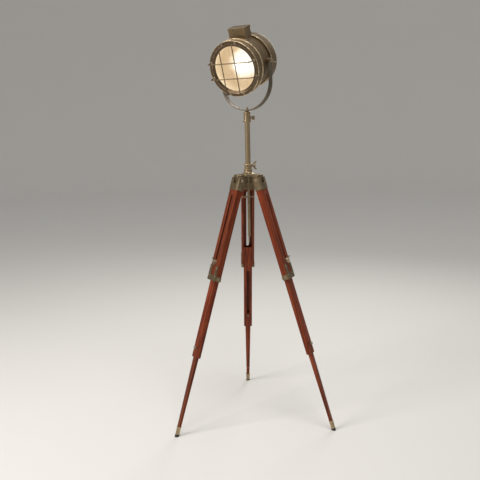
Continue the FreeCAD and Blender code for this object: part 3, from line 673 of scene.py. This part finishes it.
# %% Front ring
head_segments = 128
lip_r = 101.5
band_r = 98.0
band_end_r = 98.2
seam_r = 98.5
drum_seat_r = 92.6
ring_wall_r = 94.5
opening_r = 80.5

front_ring = eased([
    (89.5, 0, 1.0), (lip_r, 0, 1.8), (lip_r, 5, 1.8), (band_end_r, 5.4, 0.5),
    (band_r, 18.6, 0), (seam_r, 19.2, 0.3), (seam_r, 20.6, 0.3), (band_r, 21.2, 0),
    (band_end_r, 33.4, 0.5), (lip_r, 33.8, 2.6), (lip_r, 40.2, 2.6), (drum_seat_r, 40.2, 0.3),
    (drum_seat_r, 33, 0), (ring_wall_r, 33, 0), (ring_wall_r, 7, 0), (opening_r, 7, 0), (opening_r, 5, 0.5),
])
turned_piece(
    "front_ring", [(front_ring, lamp_place)], "head_brass", "lamp_head", "front_bezel", head_segments
)
print("front ring lip radius", lip_r)

# %% Rear cap with the cable's seat
cap_r = 98.4
cap_corner = 8
dome_r = cap_r - cap_corner
cap_shoulder = 151
dome_rise = 9
lining_r = 96.3

rear_cap = eased([(drum_seat_r, 112, 0.2), (99.4, 112, 1.9), (99.4, 116, 1.9), (cap_r, 116.6, 0.3)])
for k, (r, h) in enumerate(arc((dome_r, cap_shoulder), cap_corner, 0, 90, 8)):
    rear_cap.append((r * mm, h * mm, 1.0 if 2 <= k <= 6 else 0.0))
dome = []
for k in range(1, 13):
    r = dome_r * (1 - k / 12)
    dome.append((r, cap_shoulder + cap_corner + dome_rise * (1 - (r / dome_r) ** 2)))
lining = [(0, 165.8), (45, 163.5), (88, 157), (lining_r, 150), (lining_r, 118.2), (drum_seat_r, 118.2)]
rear_cap += straight(dome + lining)

gland_seat = eased([(0, 158, 0), (11, 158, 0), (11, 169, 0.8), (6.6, 169, 0.3), (6.6, 168, 0), (0, 168, 0)])
gland_place = lamp_place @ Matrix.Translation((0, 60 * mm, 0))
turned_piece(
    "rear_cap", [(rear_cap, lamp_place), (gland_seat, gland_place)], "head_brass", "lamp_head", "rear_cover",
    head_segments,
)
print("rear cap radius", cap_r)

# %% [markdown]
# ## Lens, reflector, bulb and holder
# The glass is a slightly domed disc held in the front ring. Behind it sit a spun bowl
# and the bulb in its black holder. The bowl is a curve through three points of the
# model's own cone, so that it stays inside the drum.

# %% Lens and bowl
def three_point_curve(first, middle, last, steps):
    # Points on the parabola-like curve through three (radius, station) points.
    out = []
    for k in range(steps + 1):
        t = k / steps
        a = 2 * (t - 0.5) * (t - 1)
        b = -4 * t * (t - 1)
        c = 2 * t * (t - 0.5)
        out.append(tuple(a * first[i] + b * middle[i] + c * last[i] for i in (0, 1)))
    return out


lens_r = 77.4
lens_edge = 5.9
lens_rise = 1.6
lens_front = [(lens_r * (1 - k / 10), lens_edge - lens_rise * (1 - (1 - k / 10) ** 2)) for k in range(11)]
lens = straight([(90, 10), (90, 7), (80.3, 7)] + lens_front + [(0, 7.6), (78, 10)])
turned_piece("lens", [(lens, lamp_place)], "clear_glass", "lamp_head", "lens_glass")

bowl_front = three_point_curve((84, 13), (67, 52), (26, 86), 16)
bowl_throat = [(19.4, 87.0), (15.2, 87.4), (15.2, 88.2), (20, 87.9)]
bowl_back = [(r + 1.0, h + 1.0) for r, h in reversed(bowl_front)]
bowl = straight(bowl_front + bowl_throat + bowl_back + [(90.4, 14.2), (90.4, 13)])
turned_piece("bowl", [(bowl, lamp_place)], "reflector_metal", "lamp_head", "reflector")
print("bowl runs from", bowl_front[0], "to", bowl_front[-1])

# %% Bulb and holder
globe_r = 27
small_segments = 48
bulb = straight(
    arc((0, 55), globe_r, -90, 28, 14) + [(18.5, 76.5), (14.6, 84), (12.9, 91), (12.9, 114.6), (0, 114.6)]
)
turned_piece("glowing_bulb", [(bulb, lamp_place)], "bulb_glass", "lamp_head", "bulb", small_segments)

socket_wall = eased([
    (13.1, 89, 0.4), (19, 89, 1.0), (19, 97, 0.6), (17.8, 98, 0), (17.8, 101, 0), (19, 102, 0.6),
    (19, 131, 1.0), (14, 131, 0), (14, 157.5, 0), (0, 157.5, 0), (0, 115, 0), (13.1, 115, 0),
])
holder = [(socket_wall, lamp_place)]
turned_piece("bulb_holder", holder, "holder_black", "lamp_head", "lamp_holder", small_segments)
print("bulb across", 2 * globe_r, "mm")

# %% [markdown]
# ## Drum, chimney, strap, hub and column tube
# These solids already have the right shape. They are dressed: joined faces, a fine
# bevel on the flat-sided ones where light catches, smooth walls on the round ones.

# %% Dressed pieces of the head, the yoke and the column
for solid, finish, body, bevel in (
    ("drum_shell", "head_brass", "lamp_head", 0),
    ("chimney_box", "head_brass", "lamp_head", 0.5),
    ("chimney_lid", "head_brass", "lamp_head", 0.5),
    ("trunnion_bosses", "head_brass", "lamp_head", 0),
    ("cable_gland", "head_brass", "lamp_head", 0),
    ("lens_retainer", "fastener_brass", "lamp_head", 0),
    ("yoke_strap", "strap_brass", "yoke", 0.5),
    ("column_tube", "turned_brass", "column", 0),
    ("mast_rod", "turned_brass", "mast", 0),
    ("hub_casting", "cast_brass", "base", 0.7),
    ("hinge_pins", "turned_brass", "base", 0),
):
    dressed_piece(solid, finish, body, bevel)

# %% [markdown]
# ## Column: flare, beads, sleeve and acorn nut
# Everything on the column was turned from bar. The flare at the foot is a hollow
# curve, the rings above it are half-round beads, and the acorn nut on top holds the
# yoke. The bosses for the clamp screws stand out along +X and are spun separately.

# %% Column foot and sleeve
tube_bore = 10.05
foot_r = 24.9
neck_r = 13.4
foot_screw_height = 32
sleeve_screw_height = 16.8


def screw_boss(end, ease):
    # A round boss for a clamp screw, from inside the wall out to its sunk end.
    sunk = end - 0.4
    wall = [(0, 10.4, 0), (4.6, 10.4, 0), (4.6, end, ease)]
    return eased(wall + [(2.6, end, 0.2), (2.6, sunk, 0), (0, sunk, 0)])


flare = [(tube_bore, 0, 0), (foot_r, 0, 0.4), (foot_r, 1.6, 0.6)]
for k in range(9):
    t = k / 8
    flare.append((21.6 - 7.1 * (1 - (1 - t) ** 2.2), 2.2 + 11.2 * t, 0))
flare += [
    (14.5, 13.5, 0), (19.1, 13.7, 1.9), (19.1, 17.5, 1.9), (neck_r, 17.8, 0.3), (neck_r, 23.2, 0),
    (13.9, 23.6, 0.2), (13.9, 24.8, 0.2), (neck_r, 25.2, 0), (neck_r, 32.2, 0.3), (17.2, 32.6, 2.4),
    (17.2, 37.9, 2.4), (12.6, 38.1, 0.3), (tube_bore, 38.1, 0),
]
foot_screw_place = raised(plate_top + foot_screw_height * mm) @ sideways
column_foot = [(eased(flare), raised(plate_top)), (screw_boss(18.6, 0.6), foot_screw_place)]
turned_piece("column_foot", column_foot, "turned_brass", "base", "hub_collar")

sleeve = eased([
    (10.02, 0, 0.3), (neck_r, 0, 0.5), (15, 0.8, 1.4), (15, 6.8, 1.4), (13.2, 7.6, 0.3),
    (13.2, 27.4, 0.2), (12.2, 29, 0.4), (5.05, 29, 0.2), (5.05, 12, 0), (10.02, 12, 0),
])
thumb_place = raised(column_top + sleeve_screw_height * mm) @ sideways
column_sleeve = [(sleeve, raised(column_top)), (screw_boss(15, 0.5), thumb_place)]
turned_piece("column_sleeve", column_sleeve, "turned_brass", "column", "column_collar")
print("flare widest radius", foot_r)

# %% Mast cap and acorn nut
stud_r = 4
cap_height = 13.6
stud_top = cap_height + 0.6 + 3 + 5.7
mast_cap = eased([
    (5.02, 0, 0.2), (12.6, 0, 0.5), (13.2, 1, 0.5), (13.2, 8.6, 0.8), (11.4, 10, 0.6), (7.6, 10.6, 0.5),
    (7, cap_height, 0.3), (stud_r, cap_height, 0), (stud_r, stud_top, 0), (0, stud_top, 0), (0, 10, 0),
    (5.02, 10, 0),
])
turned_piece("mast_cap", [(mast_cap, raised(mast_head_bottom))], "turned_brass", "mast", "mast_head")

acorn_r = 4.9
acorn_shoulder = 5.7
acorn = [(4.02, 0, 0.2), (6.5, 0, 0.4), (6.5, 1.5, 0.4), (acorn_r, 1.8, 0.2)]
acorn += [(r, h, 0) for r, h in arc((0, acorn_shoulder), acorn_r, 0, 90, 8)]
acorn += [(0, 5.8, 0), (4.02, 5.8, 0)]
acorn_place = raised(strap_bottom + 3.3 * mm)
turned_piece("acorn_nut", [(eased(acorn), acorn_place)], "fastener_brass", "mast", "yoke_nut", small_segments)
print("stud top", round(stud_top, 1))

# %% [markdown]
# ## Wing nuts and wing screws
# A wing nut is a casting: a barrel with two ears. The barrel is spun. The ear is a
# flat outline with rounded lobes, given thickness and a bevel all round. The same
# function serves the two nuts that clamp the yoke, the three on the legs and the
# screw in the column's foot, each turned as in the picture.

# %% Ears and winged fasteners
ear_thickness = 2.5
ear_outline = [
    (2.5, 1.6), (7.2, 1.7), (11.5, 3.4), (14.6, 6.6), (16.1, 10.0), (16.5, 12.4), (15.9, 14.3),
    (14.3, 15.0), (12.4, 14.4), (10.6, 12.7), (9.0, 10.7), (7.3, 9.1), (5.4, 8.3), (2.5, 8.1),
]


def ears_into(bm, place):
    count = len(ear_outline)
    for turn in (0, 180):
        spun = place @ rotated(turn, "Z")
        walls = []
        for y in (-ear_thickness / 2, ear_thickness / 2):
            walls.append([bm.verts.new(spun @ (Vector((x, y, z)) * mm)) for x, z in ear_outline])
        near, far = walls
        faces = [bm.faces.new(near), bm.faces.new(list(reversed(far)))]
        rims = [edge for face in faces for edge in face.edges]
        for k in range(count):
            j = (k + 1) % count
            faces.append(bm.faces.new((near[j], near[k], far[k], far[j])))
        worn = bevelled(bm, rims, 0.55, 2, 0.8, clamp_overlap=True)
        bmesh.ops.recalc_face_normals(bm, faces=worn + [face for face in faces if face.is_valid])


def winged(name, place, body, stands_for, bore=0):
    # With a bore it is a nut on its washer, and without one the head of a screw.
    bm = bmesh.new()
    barrel = [(0, 0, 0), (6.2, 0, 0.4), (5.5, 9.4, 0.9), (0, 10, 0)]
    if bore:
        washer = [(bore, 0, 0), (8.5, 0, 0.3), (8.5, 1.5, 0.3)]
        barrel = washer + [(6.3, 1.6, 0.2), (5.4, 9.4, 0.7), (bore, 10, 0.3)]
    spin_into(bm, eased(barrel), place, small_segments)
    ears_into(bm, place @ raised(0 if bore else -0.6 * mm))
    piece_from(bm, name, "fastener_brass", body, stands_for, 35)


print("an ear is outlined by", len(ear_outline), "points")

# %% The six winged fasteners
leg_nut_station = 319.5
trunnion_end = 103.3
leg_nut_seat = Matrix.Translation((13.8 * mm, 0, -leg_nut_station * mm)) @ sideways
for leg, ear_turn in (("rear", 20), ("left", 35), ("right", -40)):
    seat = leg_nut_seat @ rotated(ear_turn, "Z")
    winged(leg + "_leg_nut", leg_place(leg) @ seat, leg + "_nut", leg + "_wing_nut", 3.05)
for side, name in ((-1, "left"), (1, "right")):
    outward = rotated(side * 90, "Y") @ raised(trunnion_end * mm)
    seat = head_place @ outward @ rotated(side * 53, "Z")
    winged("yoke_nut_" + name, seat, "tilt_nut_" + name, "tilt_wing_nut_" + name, 4.05)
winged("column_foot_screw", foot_screw_place @ raised(18.9 * mm), "hub_screw", "hub_clamp_screw")
print("winged fasteners: 6")

# %% [markdown]
# ## Geometry Nodes helpers
# A Geometry Nodes tree is a recipe with named inputs. Building it in the script means
# the same recipe can be run with other sizes. Two habits keep it reliable: inputs are
# set by the socket's identifier before the object is first evaluated, and the result
# is copied to a plain mesh, so that nothing live is left on the finished piece.

# %% Geometry Nodes helpers
def new_recipe(name, sizes):
    inputs = [("Geometry", SHAPE, None), *sizes, ("Finish", FINISH, None)]
    return new_tree(name, "GeometryNodeTree", inputs, [("Geometry", SHAPE)])


def closing(tree, geometry, finish, result):
    # Every recipe ends in real geometry with its material set.
    real = add_node(tree, "GeometryNodeRealizeInstances", {"Geometry": geometry}).outputs[0]
    smooth = add_node(tree, "GeometryNodeSetShadeSmooth", {"Geometry": real}).outputs[0]
    painted = add_node(tree, "GeometryNodeSetMaterial", {"Geometry": smooth, "Material": finish})
    fill(tree, result, {"Geometry": painted.outputs[0]})


def run_recipe(name, recipe, start, body, finish, place=Matrix(), stands_for=None, sizes=None):
    # Runs a recipe on a starting mesh and keeps the result as a plain piece.
    source = new_object(name + "_source", start)
    modifier = source.modifiers.new("recipe", "NODES")
    modifier.node_group = recipe
    wanted = dict(sizes or {}, Finish=finishes[finish])
    for item in recipe.interface.items_tree:
        if item.item_type == "SOCKET" and item.in_out == "INPUT" and item.name in wanted:
            modifier[item.identifier] = wanted[item.name]
    grown = source.evaluated_get(bpy.context.evaluated_depsgraph_get())
    mesh = bpy.data.meshes.new_from_object(grown)
    source.modifiers.clear()
    bpy.data.objects.remove(source)
    mesh.name = name
    mesh.transform(place)
    mesh.materials.clear()
    mesh.materials.append(finishes[finish])
    mesh.shade_smooth()
    mesh.set_sharp_from_angle(angle=math.radians(35))
    as_piece(name, mesh, body, stands_for)
    print(name, "has", len(mesh.polygons), "faces")


print("recipes can be built and run")

# %% [markdown]
# ## The wire guard
# Four stiff wires cross in front of the glass and bend back to the front ring. Each
# could be a pipe along a curve, and the bend at the corner is what makes it look like
# wire. So the recipe takes a plain path of straight runs, fillets its corners, and
# sweeps a round section along it.

# %% Wire guard recipe
bent_wire, given, result = new_recipe(
    "bent_wire", [("Wire Radius", FLOAT, 0.00165), ("Bend Radius", FLOAT, 0.008)]
)
path = add_node(bent_wire, "GeometryNodeMeshToCurve", {"Mesh": given["Geometry"]})
bend_sockets = {"Curve": path.outputs[0], "Count": 8, "Radius": given["Bend Radius"]}
bend = add_node(bent_wire, "GeometryNodeFilletCurve", bend_sockets, mode="POLY")
section_sockets = {"Resolution": 14, "Radius": given["Wire Radius"]}
section = add_node(bent_wire, "GeometryNodeCurvePrimitiveCircle", section_sockets)
sweep_sockets = {"Curve": bend.outputs[0], "Profile Curve": section.outputs[0], "Fill Caps": True}
sweep = add_node(bent_wire, "GeometryNodeCurveToMesh", sweep_sockets)
closing(bent_wire, sweep.outputs[0], given["Finish"], result)
print(bent_wire.name, "has", len(bent_wire.nodes), "nodes")

# %% The four wires
wire_r = 1.85
wire_spread = 27.5
upright_shift = 4.0
guard_end_r = 93.0
guard_rise = 28.0
clip_depth = 2.2
path_points = []
path_edges = []
clip_screws = []
for side in (-1, 1):
    for across in (False, True):
        offset = side * wire_spread - (0 if across else upright_shift)
        half_run = math.sqrt(guard_end_r ** 2 - offset ** 2)
        plane = -guard_rise + (-1 if across else 1) * (wire_r + 0.02)
        first = len(path_points)
        for run, station in ((half_run, -1.0), (half_run, plane), (-half_run, plane), (-half_run, -1.0)):
            # In the lamp's frame +X is across and -Y is up, with the station along Z.
            spot = Vector((run, offset, station)) if across else Vector((offset, run, station))
            path_points.append(spot * mm)
            if station != plane:
                clip_screws.append(((spot.x, spot.y, -clip_depth), (0, 0, -1), 1.0))
        path_edges += [(first + k, first + k + 1) for k in range(3)]
paths = bpy.data.meshes.new("guard_paths")
paths.from_pydata(path_points, path_edges, [])
wire_sizes = {"Wire Radius": wire_r * mm, "Bend Radius": 8 * mm}
run_recipe("wire_guard", bent_wire, paths, "lamp_head", "guard_wire", lamp_place, "guard_wires", wire_sizes)

# %% [markdown]
# ## Screws
# Small round-headed screws hold the guard's feet, the brackets, the column's foot and
# the stops of the lower sections. One recipe puts a slotted head on every point of a
# mesh, and reads two attributes from the points: which way the head faces and how big
# it is. How far its slot is turned is drawn by chance from a fixed seed, so no two
# slots line up, as on a real lamp.

# %% The screw's head
slotted_screws, given, result = new_recipe(
    "slotted_screws", [("Head Radius", FLOAT, 0.003), ("Head Height", FLOAT, 0.0014), ("Seed", WHOLE, 7)]
)
head_r = given["Head Radius"]
head_h = given["Head Height"]


def share(value, factor):
    return maths(slotted_screws, "MULTIPLY", value, factor)


def lifted(shape, height):
    lift = add_node(slotted_screws, "ShaderNodeCombineXYZ", {"Z": height}).outputs[0]
    sockets = {"Geometry": shape, "Translation": lift}
    return add_node(slotted_screws, "GeometryNodeTransform", sockets).outputs[0]


def head_slice(radius, top_share, height, base):
    # One slice of the head: a short cone from its lower radius to a share of it.
    sockets = {"Vertices": 20, "Depth": height, "Radius Bottom": radius}
    sockets["Radius Top"] = share(radius, top_share)
    cone = add_node(slotted_screws, "GeometryNodeMeshCone", sockets)
    return lifted(cone.outputs["Mesh"], base)


low_h = share(head_h, 0.45)
low_slice = head_slice(head_r, 0.93, low_h, 0.0)
top_slice = head_slice(share(head_r, 0.93), 0.6, share(head_h, 0.55), low_h)
slot_sockets = {"X": share(head_r, 1.1), "Y": share(head_r, 0.2), "Z": share(head_h, 0.1)}
slot_size = add_node(slotted_screws, "ShaderNodeCombineXYZ", slot_sockets).outputs[0]
slot_bar = add_node(slotted_screws, "GeometryNodeMeshCube", {"Size": slot_size}).outputs["Mesh"]
whole = slotted_screws.nodes.new("GeometryNodeJoinGeometry")
for part in (low_slice, top_slice, lifted(slot_bar, head_h)):
    slotted_screws.links.new(part, whole.inputs[0])
print("screw head has", len(slotted_screws.nodes), "nodes")


# %% A head on every point
def point_value(label, kind):
    # What each point of the mesh says under this name.
    sockets = {"Name": label}
    return add_node(slotted_screws, "GeometryNodeInputNamedAttribute", sockets, data_type=kind).outputs[0]


facing_sockets = {"Vector": point_value("facing", "FLOAT_VECTOR")}
facing = add_node(slotted_screws, "FunctionNodeAlignRotationToVector", facing_sockets, axis="Z")
chance = add_node(slotted_screws, "FunctionNodeRandomValue", {"Seed": given["Seed"]}, data_type="FLOAT")
slot_turn = add_node(
    slotted_screws, "FunctionNodeAxisAngleToRotation", {"Angle": share(chance.outputs[1], 3.1)}
)
spin_sockets = {"Rotation": facing.outputs[0], "Rotate By": slot_turn.outputs[0]}
spin = add_node(slotted_screws, "FunctionNodeRotateRotation", spin_sockets, rotation_space="LOCAL")
scatter = add_node(slotted_screws, "GeometryNodeInstanceOnPoints", {
    "Points": given["Geometry"],
    "Instance": whole.outputs[0],
    "Rotation": spin.outputs[0],
    "Scale": point_value("size", "FLOAT"),
})
closing(slotted_screws, scatter.outputs[0], given["Finish"], result)
print("recipes:", [group.name for group in bpy.data.node_groups if group.bl_idname == "GeometryNodeTree"])

# %% [markdown]
# ## Setting the screws
# The points are laid out in each piece's own frame and moved to the room's frame with
# the same matrices as the pieces, so a screw always sits on its seat.

# %% Screws of the guard and the column's foot
def set_screws(name, place, spots, body):
    # Each spot is (place in millimetres, direction the head faces, size). Both attributes
    # are added before either is filled, because adding one can move the other.
    mesh = bpy.data.meshes.new(name + "_points")
    mesh.from_pydata([place @ (Vector(spot) * mm) for spot, facing, size in spots], [], [])
    mesh.attributes.new("facing", "FLOAT_VECTOR", "POINT")
    mesh.attributes.new("size", "FLOAT", "POINT")
    for k, (spot, facing, size) in enumerate(spots):
        mesh.attributes["facing"].data[k].vector = place.to_3x3() @ Vector(facing)
        mesh.attributes["size"].data[k].value = size
    run_recipe(name, slotted_screws, mesh, body, "fastener_brass")


set_screws("guard_screws", lamp_place, clip_screws, "lamp_head")
dressed_piece("guard_clips", "fastener_brass", "lamp_head")

foot_ring_r = 23.2
foot_ring_spots = []
for k in range(3):
    a = math.radians(30 + 120 * k)
    foot_ring_spots.append(((foot_ring_r * math.cos(a), foot_ring_r * math.sin(a), 1.6), (0, 0, 1), 0.5))
set_screws("foot_ring_screws", raised(plate_top), foot_ring_spots, "base")

# %% Screws of the legs
for leg in leg_azimuths:
    upper_spots = []
    for side in (-1, 1):
        upper_spots.append(((15.0, 20.5 * side, -342.0), (1, 0, 0), 0.85))
        upper_spots.append(((15.0, 20.5 * side, -374.0), (1, 0, 0), 0.85))
        upper_spots.append(((0, 27.5 * side, -382.0), (0, side, 0), 0.85))
    for side in (-1, 1):
        upper_spots.append(((-14.6, 21 * side, -70.0), (-1, 0, 0), 0.7))
        upper_spots.append(((2.0, 28 * side, -30.0), (0, side, 0), 0.9))
    set_screws(leg + "_bracket_screws", leg_place(leg), upper_spots, leg + "_leg_upper")
    lower_spots = []
    for side, station, size in ((-1, 640.0, 1.35), (-1, 926.0, 0.75), (1, 934.0, 0.75)):
        # The lower section is 13.6 mm deep down to station 700 and thins to 12 mm at the ferrule.
        half_depth = 6.8 - 0.8 * max(0.0, station - 700) / 263
        lower_spots.append(((-3.4 + side * half_depth, 0, -station), (side, 0, 0), size))
    set_screws(leg + "_stop_screws", leg_place(leg), lower_spots, leg + "_leg_lower")

# %% [markdown]
# ## Knurled knobs
# Fingers need grip, so round knobs are knurled. Modelling the cuts one by one would be
# slow; the recipe stands fine ribs round a circle of points instead, and a spun core
# closes the knob inside them.

# %% Knurl recipe
knurled_rim, given, result = new_recipe("knurled_rim", [
    ("Rim Radius", FLOAT, 0.006),
    ("Rib Length", FLOAT, 0.005),
    ("Rib Radius", FLOAT, 0.0005),
    ("Rib Count", WHOLE, 36),
])
rim_sockets = {"Vertices": given["Rib Count"], "Radius": given["Rim Radius"]}
rim = add_node(knurled_rim, "GeometryNodeMeshCircle", rim_sockets)
rib_sockets = {"Vertices": 6, "Radius": given["Rib Radius"], "Depth": given["Rib Length"]}
rib = add_node(knurled_rim, "GeometryNodeMeshCylinder", rib_sockets)
ribs_sockets = {"Points": rim.outputs[0], "Instance": rib.outputs["Mesh"]}
ribs = add_node(knurled_rim, "GeometryNodeInstanceOnPoints", ribs_sockets)
closing(knurled_rim, ribs.outputs[0], given["Finish"], result)
print(knurled_rim.name, "has", len(knurled_rim.nodes), "nodes")


# %% The four knobs
def knurled_knob(name, place, shank, start, radius, length, count, body, stands_for):
    # The core is spun along local Z, and the ribs stand between its two smooth rims.
    end = start + length
    waist = radius - 0.55
    core = eased([
        (0, shank, 0), (2.5, shank, 0.2), (2.5, start, 0), (radius - 0.5, start, 0.5),
        (radius, start + 1.2, 0.2), (waist, start + 1.7, 0), (waist, end - 1.7, 0),
        (radius, end - 1.2, 0.3), (radius - 0.7, end, 0.6), (0, end, 0),
    ])
    turned_piece(name, [(core, place)], "fastener_brass", body, stands_for, small_segments)
    sizes = {
        "Rim Radius": (radius - 0.45) * mm,
        "Rib Length": (length - 3.2) * mm,
        "Rib Radius": 0.42 * mm,
        "Rib Count": count,
    }
    nothing = bpy.data.meshes.new(name + "_start")
    middle = place @ raised((start + length / 2) * mm)
    run_recipe(name + "_ribs", knurled_rim, nothing, body, "fastener_brass", middle, sizes=sizes)


leg_knob_station = 653
knurled_knob("column_knob", thumb_place, 5.2, 16.5, 7.5, 12.5, 44, "column_screw", "column_clamp_screw")
for leg in leg_azimuths:
    knob_place = leg_place(leg) @ raised(-leg_knob_station * mm) @ sideways
    knurled_knob(leg + "_leg_knob", knob_place, 3.6, 8.7, 6.0, 7.0, 36, leg + "_knob", leg + "_clamp_knob")

# %% [markdown]
# ## Legs
# Each leg is three sections of wood that slide in each other, with a cast cap at the
# hinge, a sheet bracket and bolt at the first joint, and a turned ferrule with a
# rubber pad at the foot. The wood is dressed with its grain attribute, with another
# offset for every section.

# %% Wood, caps, brackets and feet
ferrule_station = 963
foot_seat = Matrix.Translation((-3.4 * mm, 0, -ferrule_station * mm)) @ rotated(180, "X")
foot_cup = eased([
    (0, 0, 0), (7.4, 0, 0), (9.0, 0.2, 0.5), (9.0, 3.6, 0.8), (8.2, 4.2, 0.2), (8.3, 8, 0),
    (7.6, 27.8, 0.3), (8.1, 28.2, 0.3), (8.1, 30, 0.4), (0, 30, 0),
])
for number, leg in enumerate(leg_azimuths):
    for k, part in enumerate(("upper", "middle", "lower")):
        plank_offset = (0.31 * number + 0.07 * k, 0.17 * k - 0.09 * number, 0.53 * number + 0.41 * k)
        dressed_piece(leg + "_" + part + "_section", "wood", leg + "_leg_" + part, 0.5, leg, plank_offset)
    dressed_piece(leg + "_cap", "cast_brass", leg + "_leg_upper", 0.7)
    dressed_piece(leg + "_bracket", "cast_brass", leg + "_leg_upper", 0.3)
    dressed_piece(leg + "_clamp_bolt", "fastener_brass", leg + "_leg_middle")
    dressed_piece(leg + "_pad", "pad_rubber", leg + "_leg_lower")
    cup = [(foot_cup, leg_place(leg) @ foot_seat)]
    turned_piece(leg + "_foot_cup", cup, "turned_brass", leg + "_leg_lower", leg + "_ferrule", small_segments)
print("legs dressed")

# %% [markdown]
# ## Pin heads and the cross plates
# The hinge pins end in small domed heads outside the cap's ears. High on the inner
# face of each leg a thin brass plate crosses the channel and keeps the rails apart.

# %% Pin heads and cross plates
pin_head = eased([(0, 28.05, 0), (5.6, 28.05, 0.2), (5.6, 28.8, 0.5), (3.6, 30.4, 1.2), (0, 30.8, 0)])
plate_middle = Vector((-14.1, 0, -70))
plate_size = Vector((1.1, 48, 6.5))
for leg in leg_azimuths:
    heads = [(pin_head, leg_place(leg) @ rotated(-90 * side, "X")) for side in (-1, 1)]
    turned_piece(leg + "_pin_heads", heads, "turned_brass", "base", segments=32)

    bm = bmesh.new()
    bmesh.ops.create_cube(bm, size=1.0)
    for vert in bm.verts:
        vert.co = (plate_middle + plate_size * vert.co) * mm
    bevelled(bm, bm.edges[:], 0.3, 2)
    bm.transform(leg_place(leg))
    piece_from(bm, leg + "_cross_plate", "cast_brass", leg + "_leg_upper")
print("pin heads and plates done")

# %% [markdown]
# ## Floor and light
# A plain pale floor curves up into a low wall all round, like the inside of a plate,
# so that there is no horizon from any side and nothing stands between the lamp and a
# camera that walks round it. The light is a studio's: an even surround, one large soft
# lamp from the left, one from above in front and a weaker one from behind, at a level
# where colours render about as written.

# %% Floor
tree, shader, place = material("pale_floor")
cast = noise(tree, place, 1.3, 2.0, 0.5)
fill(tree, shader, {
    "Base Color": mixed(tree, cast, (0.81, 0.80, 0.78), (0.83, 0.82, 0.80)),
    "Roughness": 0.9,
    "Specular IOR Level": 0.1,
})
rows = [(1.0, 0.0), (4.0, 0.0), *arc((9.0, 3.0), 3.0, -90, 0, 12), (12.0, 5.5)]
around = 96
corners = []
for r, z in rows:
    for k in range(around):
        a = 2 * math.pi * k / around
        corners.append((r * math.cos(a), r * math.sin(a), z))
plate_faces = [tuple(range(around))]
for i in range(0, (len(rows) - 1) * around, around):
    for k in range(around):
        j = (k + 1) % around
        plate_faces.append((i + k, i + around + k, i + around + j, i + j))
floor_mesh = bpy.data.meshes.new("studio_sweep")
floor_mesh.from_pydata(corners, [], plate_faces)
floor_mesh.shade_smooth()
floor_mesh.materials.append(finishes["pale_floor"])
floor = new_object("studio_sweep", floor_mesh)
print("floor faces:", len(plate_faces))


# %% Surround and lamps
def soft_lamp(name, place, aim_height, size, power, colour):
    # A square soft lamp that looks at a point on the column's axis.
    data = bpy.data.lights.new(name, "AREA")
    data.size = size
    data.energy = power
    data.color = colour
    lamp = new_object(name, data)
    lamp.location = place
    lamp.rotation_mode = "QUATERNION"
    lamp.rotation_quaternion = (Vector((0, 0, aim_height)) - Vector(place)).to_track_quat("-Z", "Y")


soft_lamp("key_lamp", (-2.5, -1.3, 2.5), 0.9, 1.3, 62, (1.0, 0.96, 0.9))
soft_lamp("fill_lamp", (0.2, -0.9, 3.6), 1.0, 1.2, 34, (1.0, 0.98, 0.95))
soft_lamp("rim_lamp", (0.9, 2.0, 2.3), 1.1, 1.0, 18, (1.0, 0.97, 0.92))

world = bpy.data.worlds.new("surround")
world.use_nodes = True
background = world.node_tree.nodes["Background"]
fill(world.node_tree, background, {"Color": (1.0, 0.985, 0.96), "Strength": 0.4})
bpy.context.scene.world = world
bpy.context.scene.view_settings.view_transform = "Standard"
print("lights:", len(bpy.data.lights))
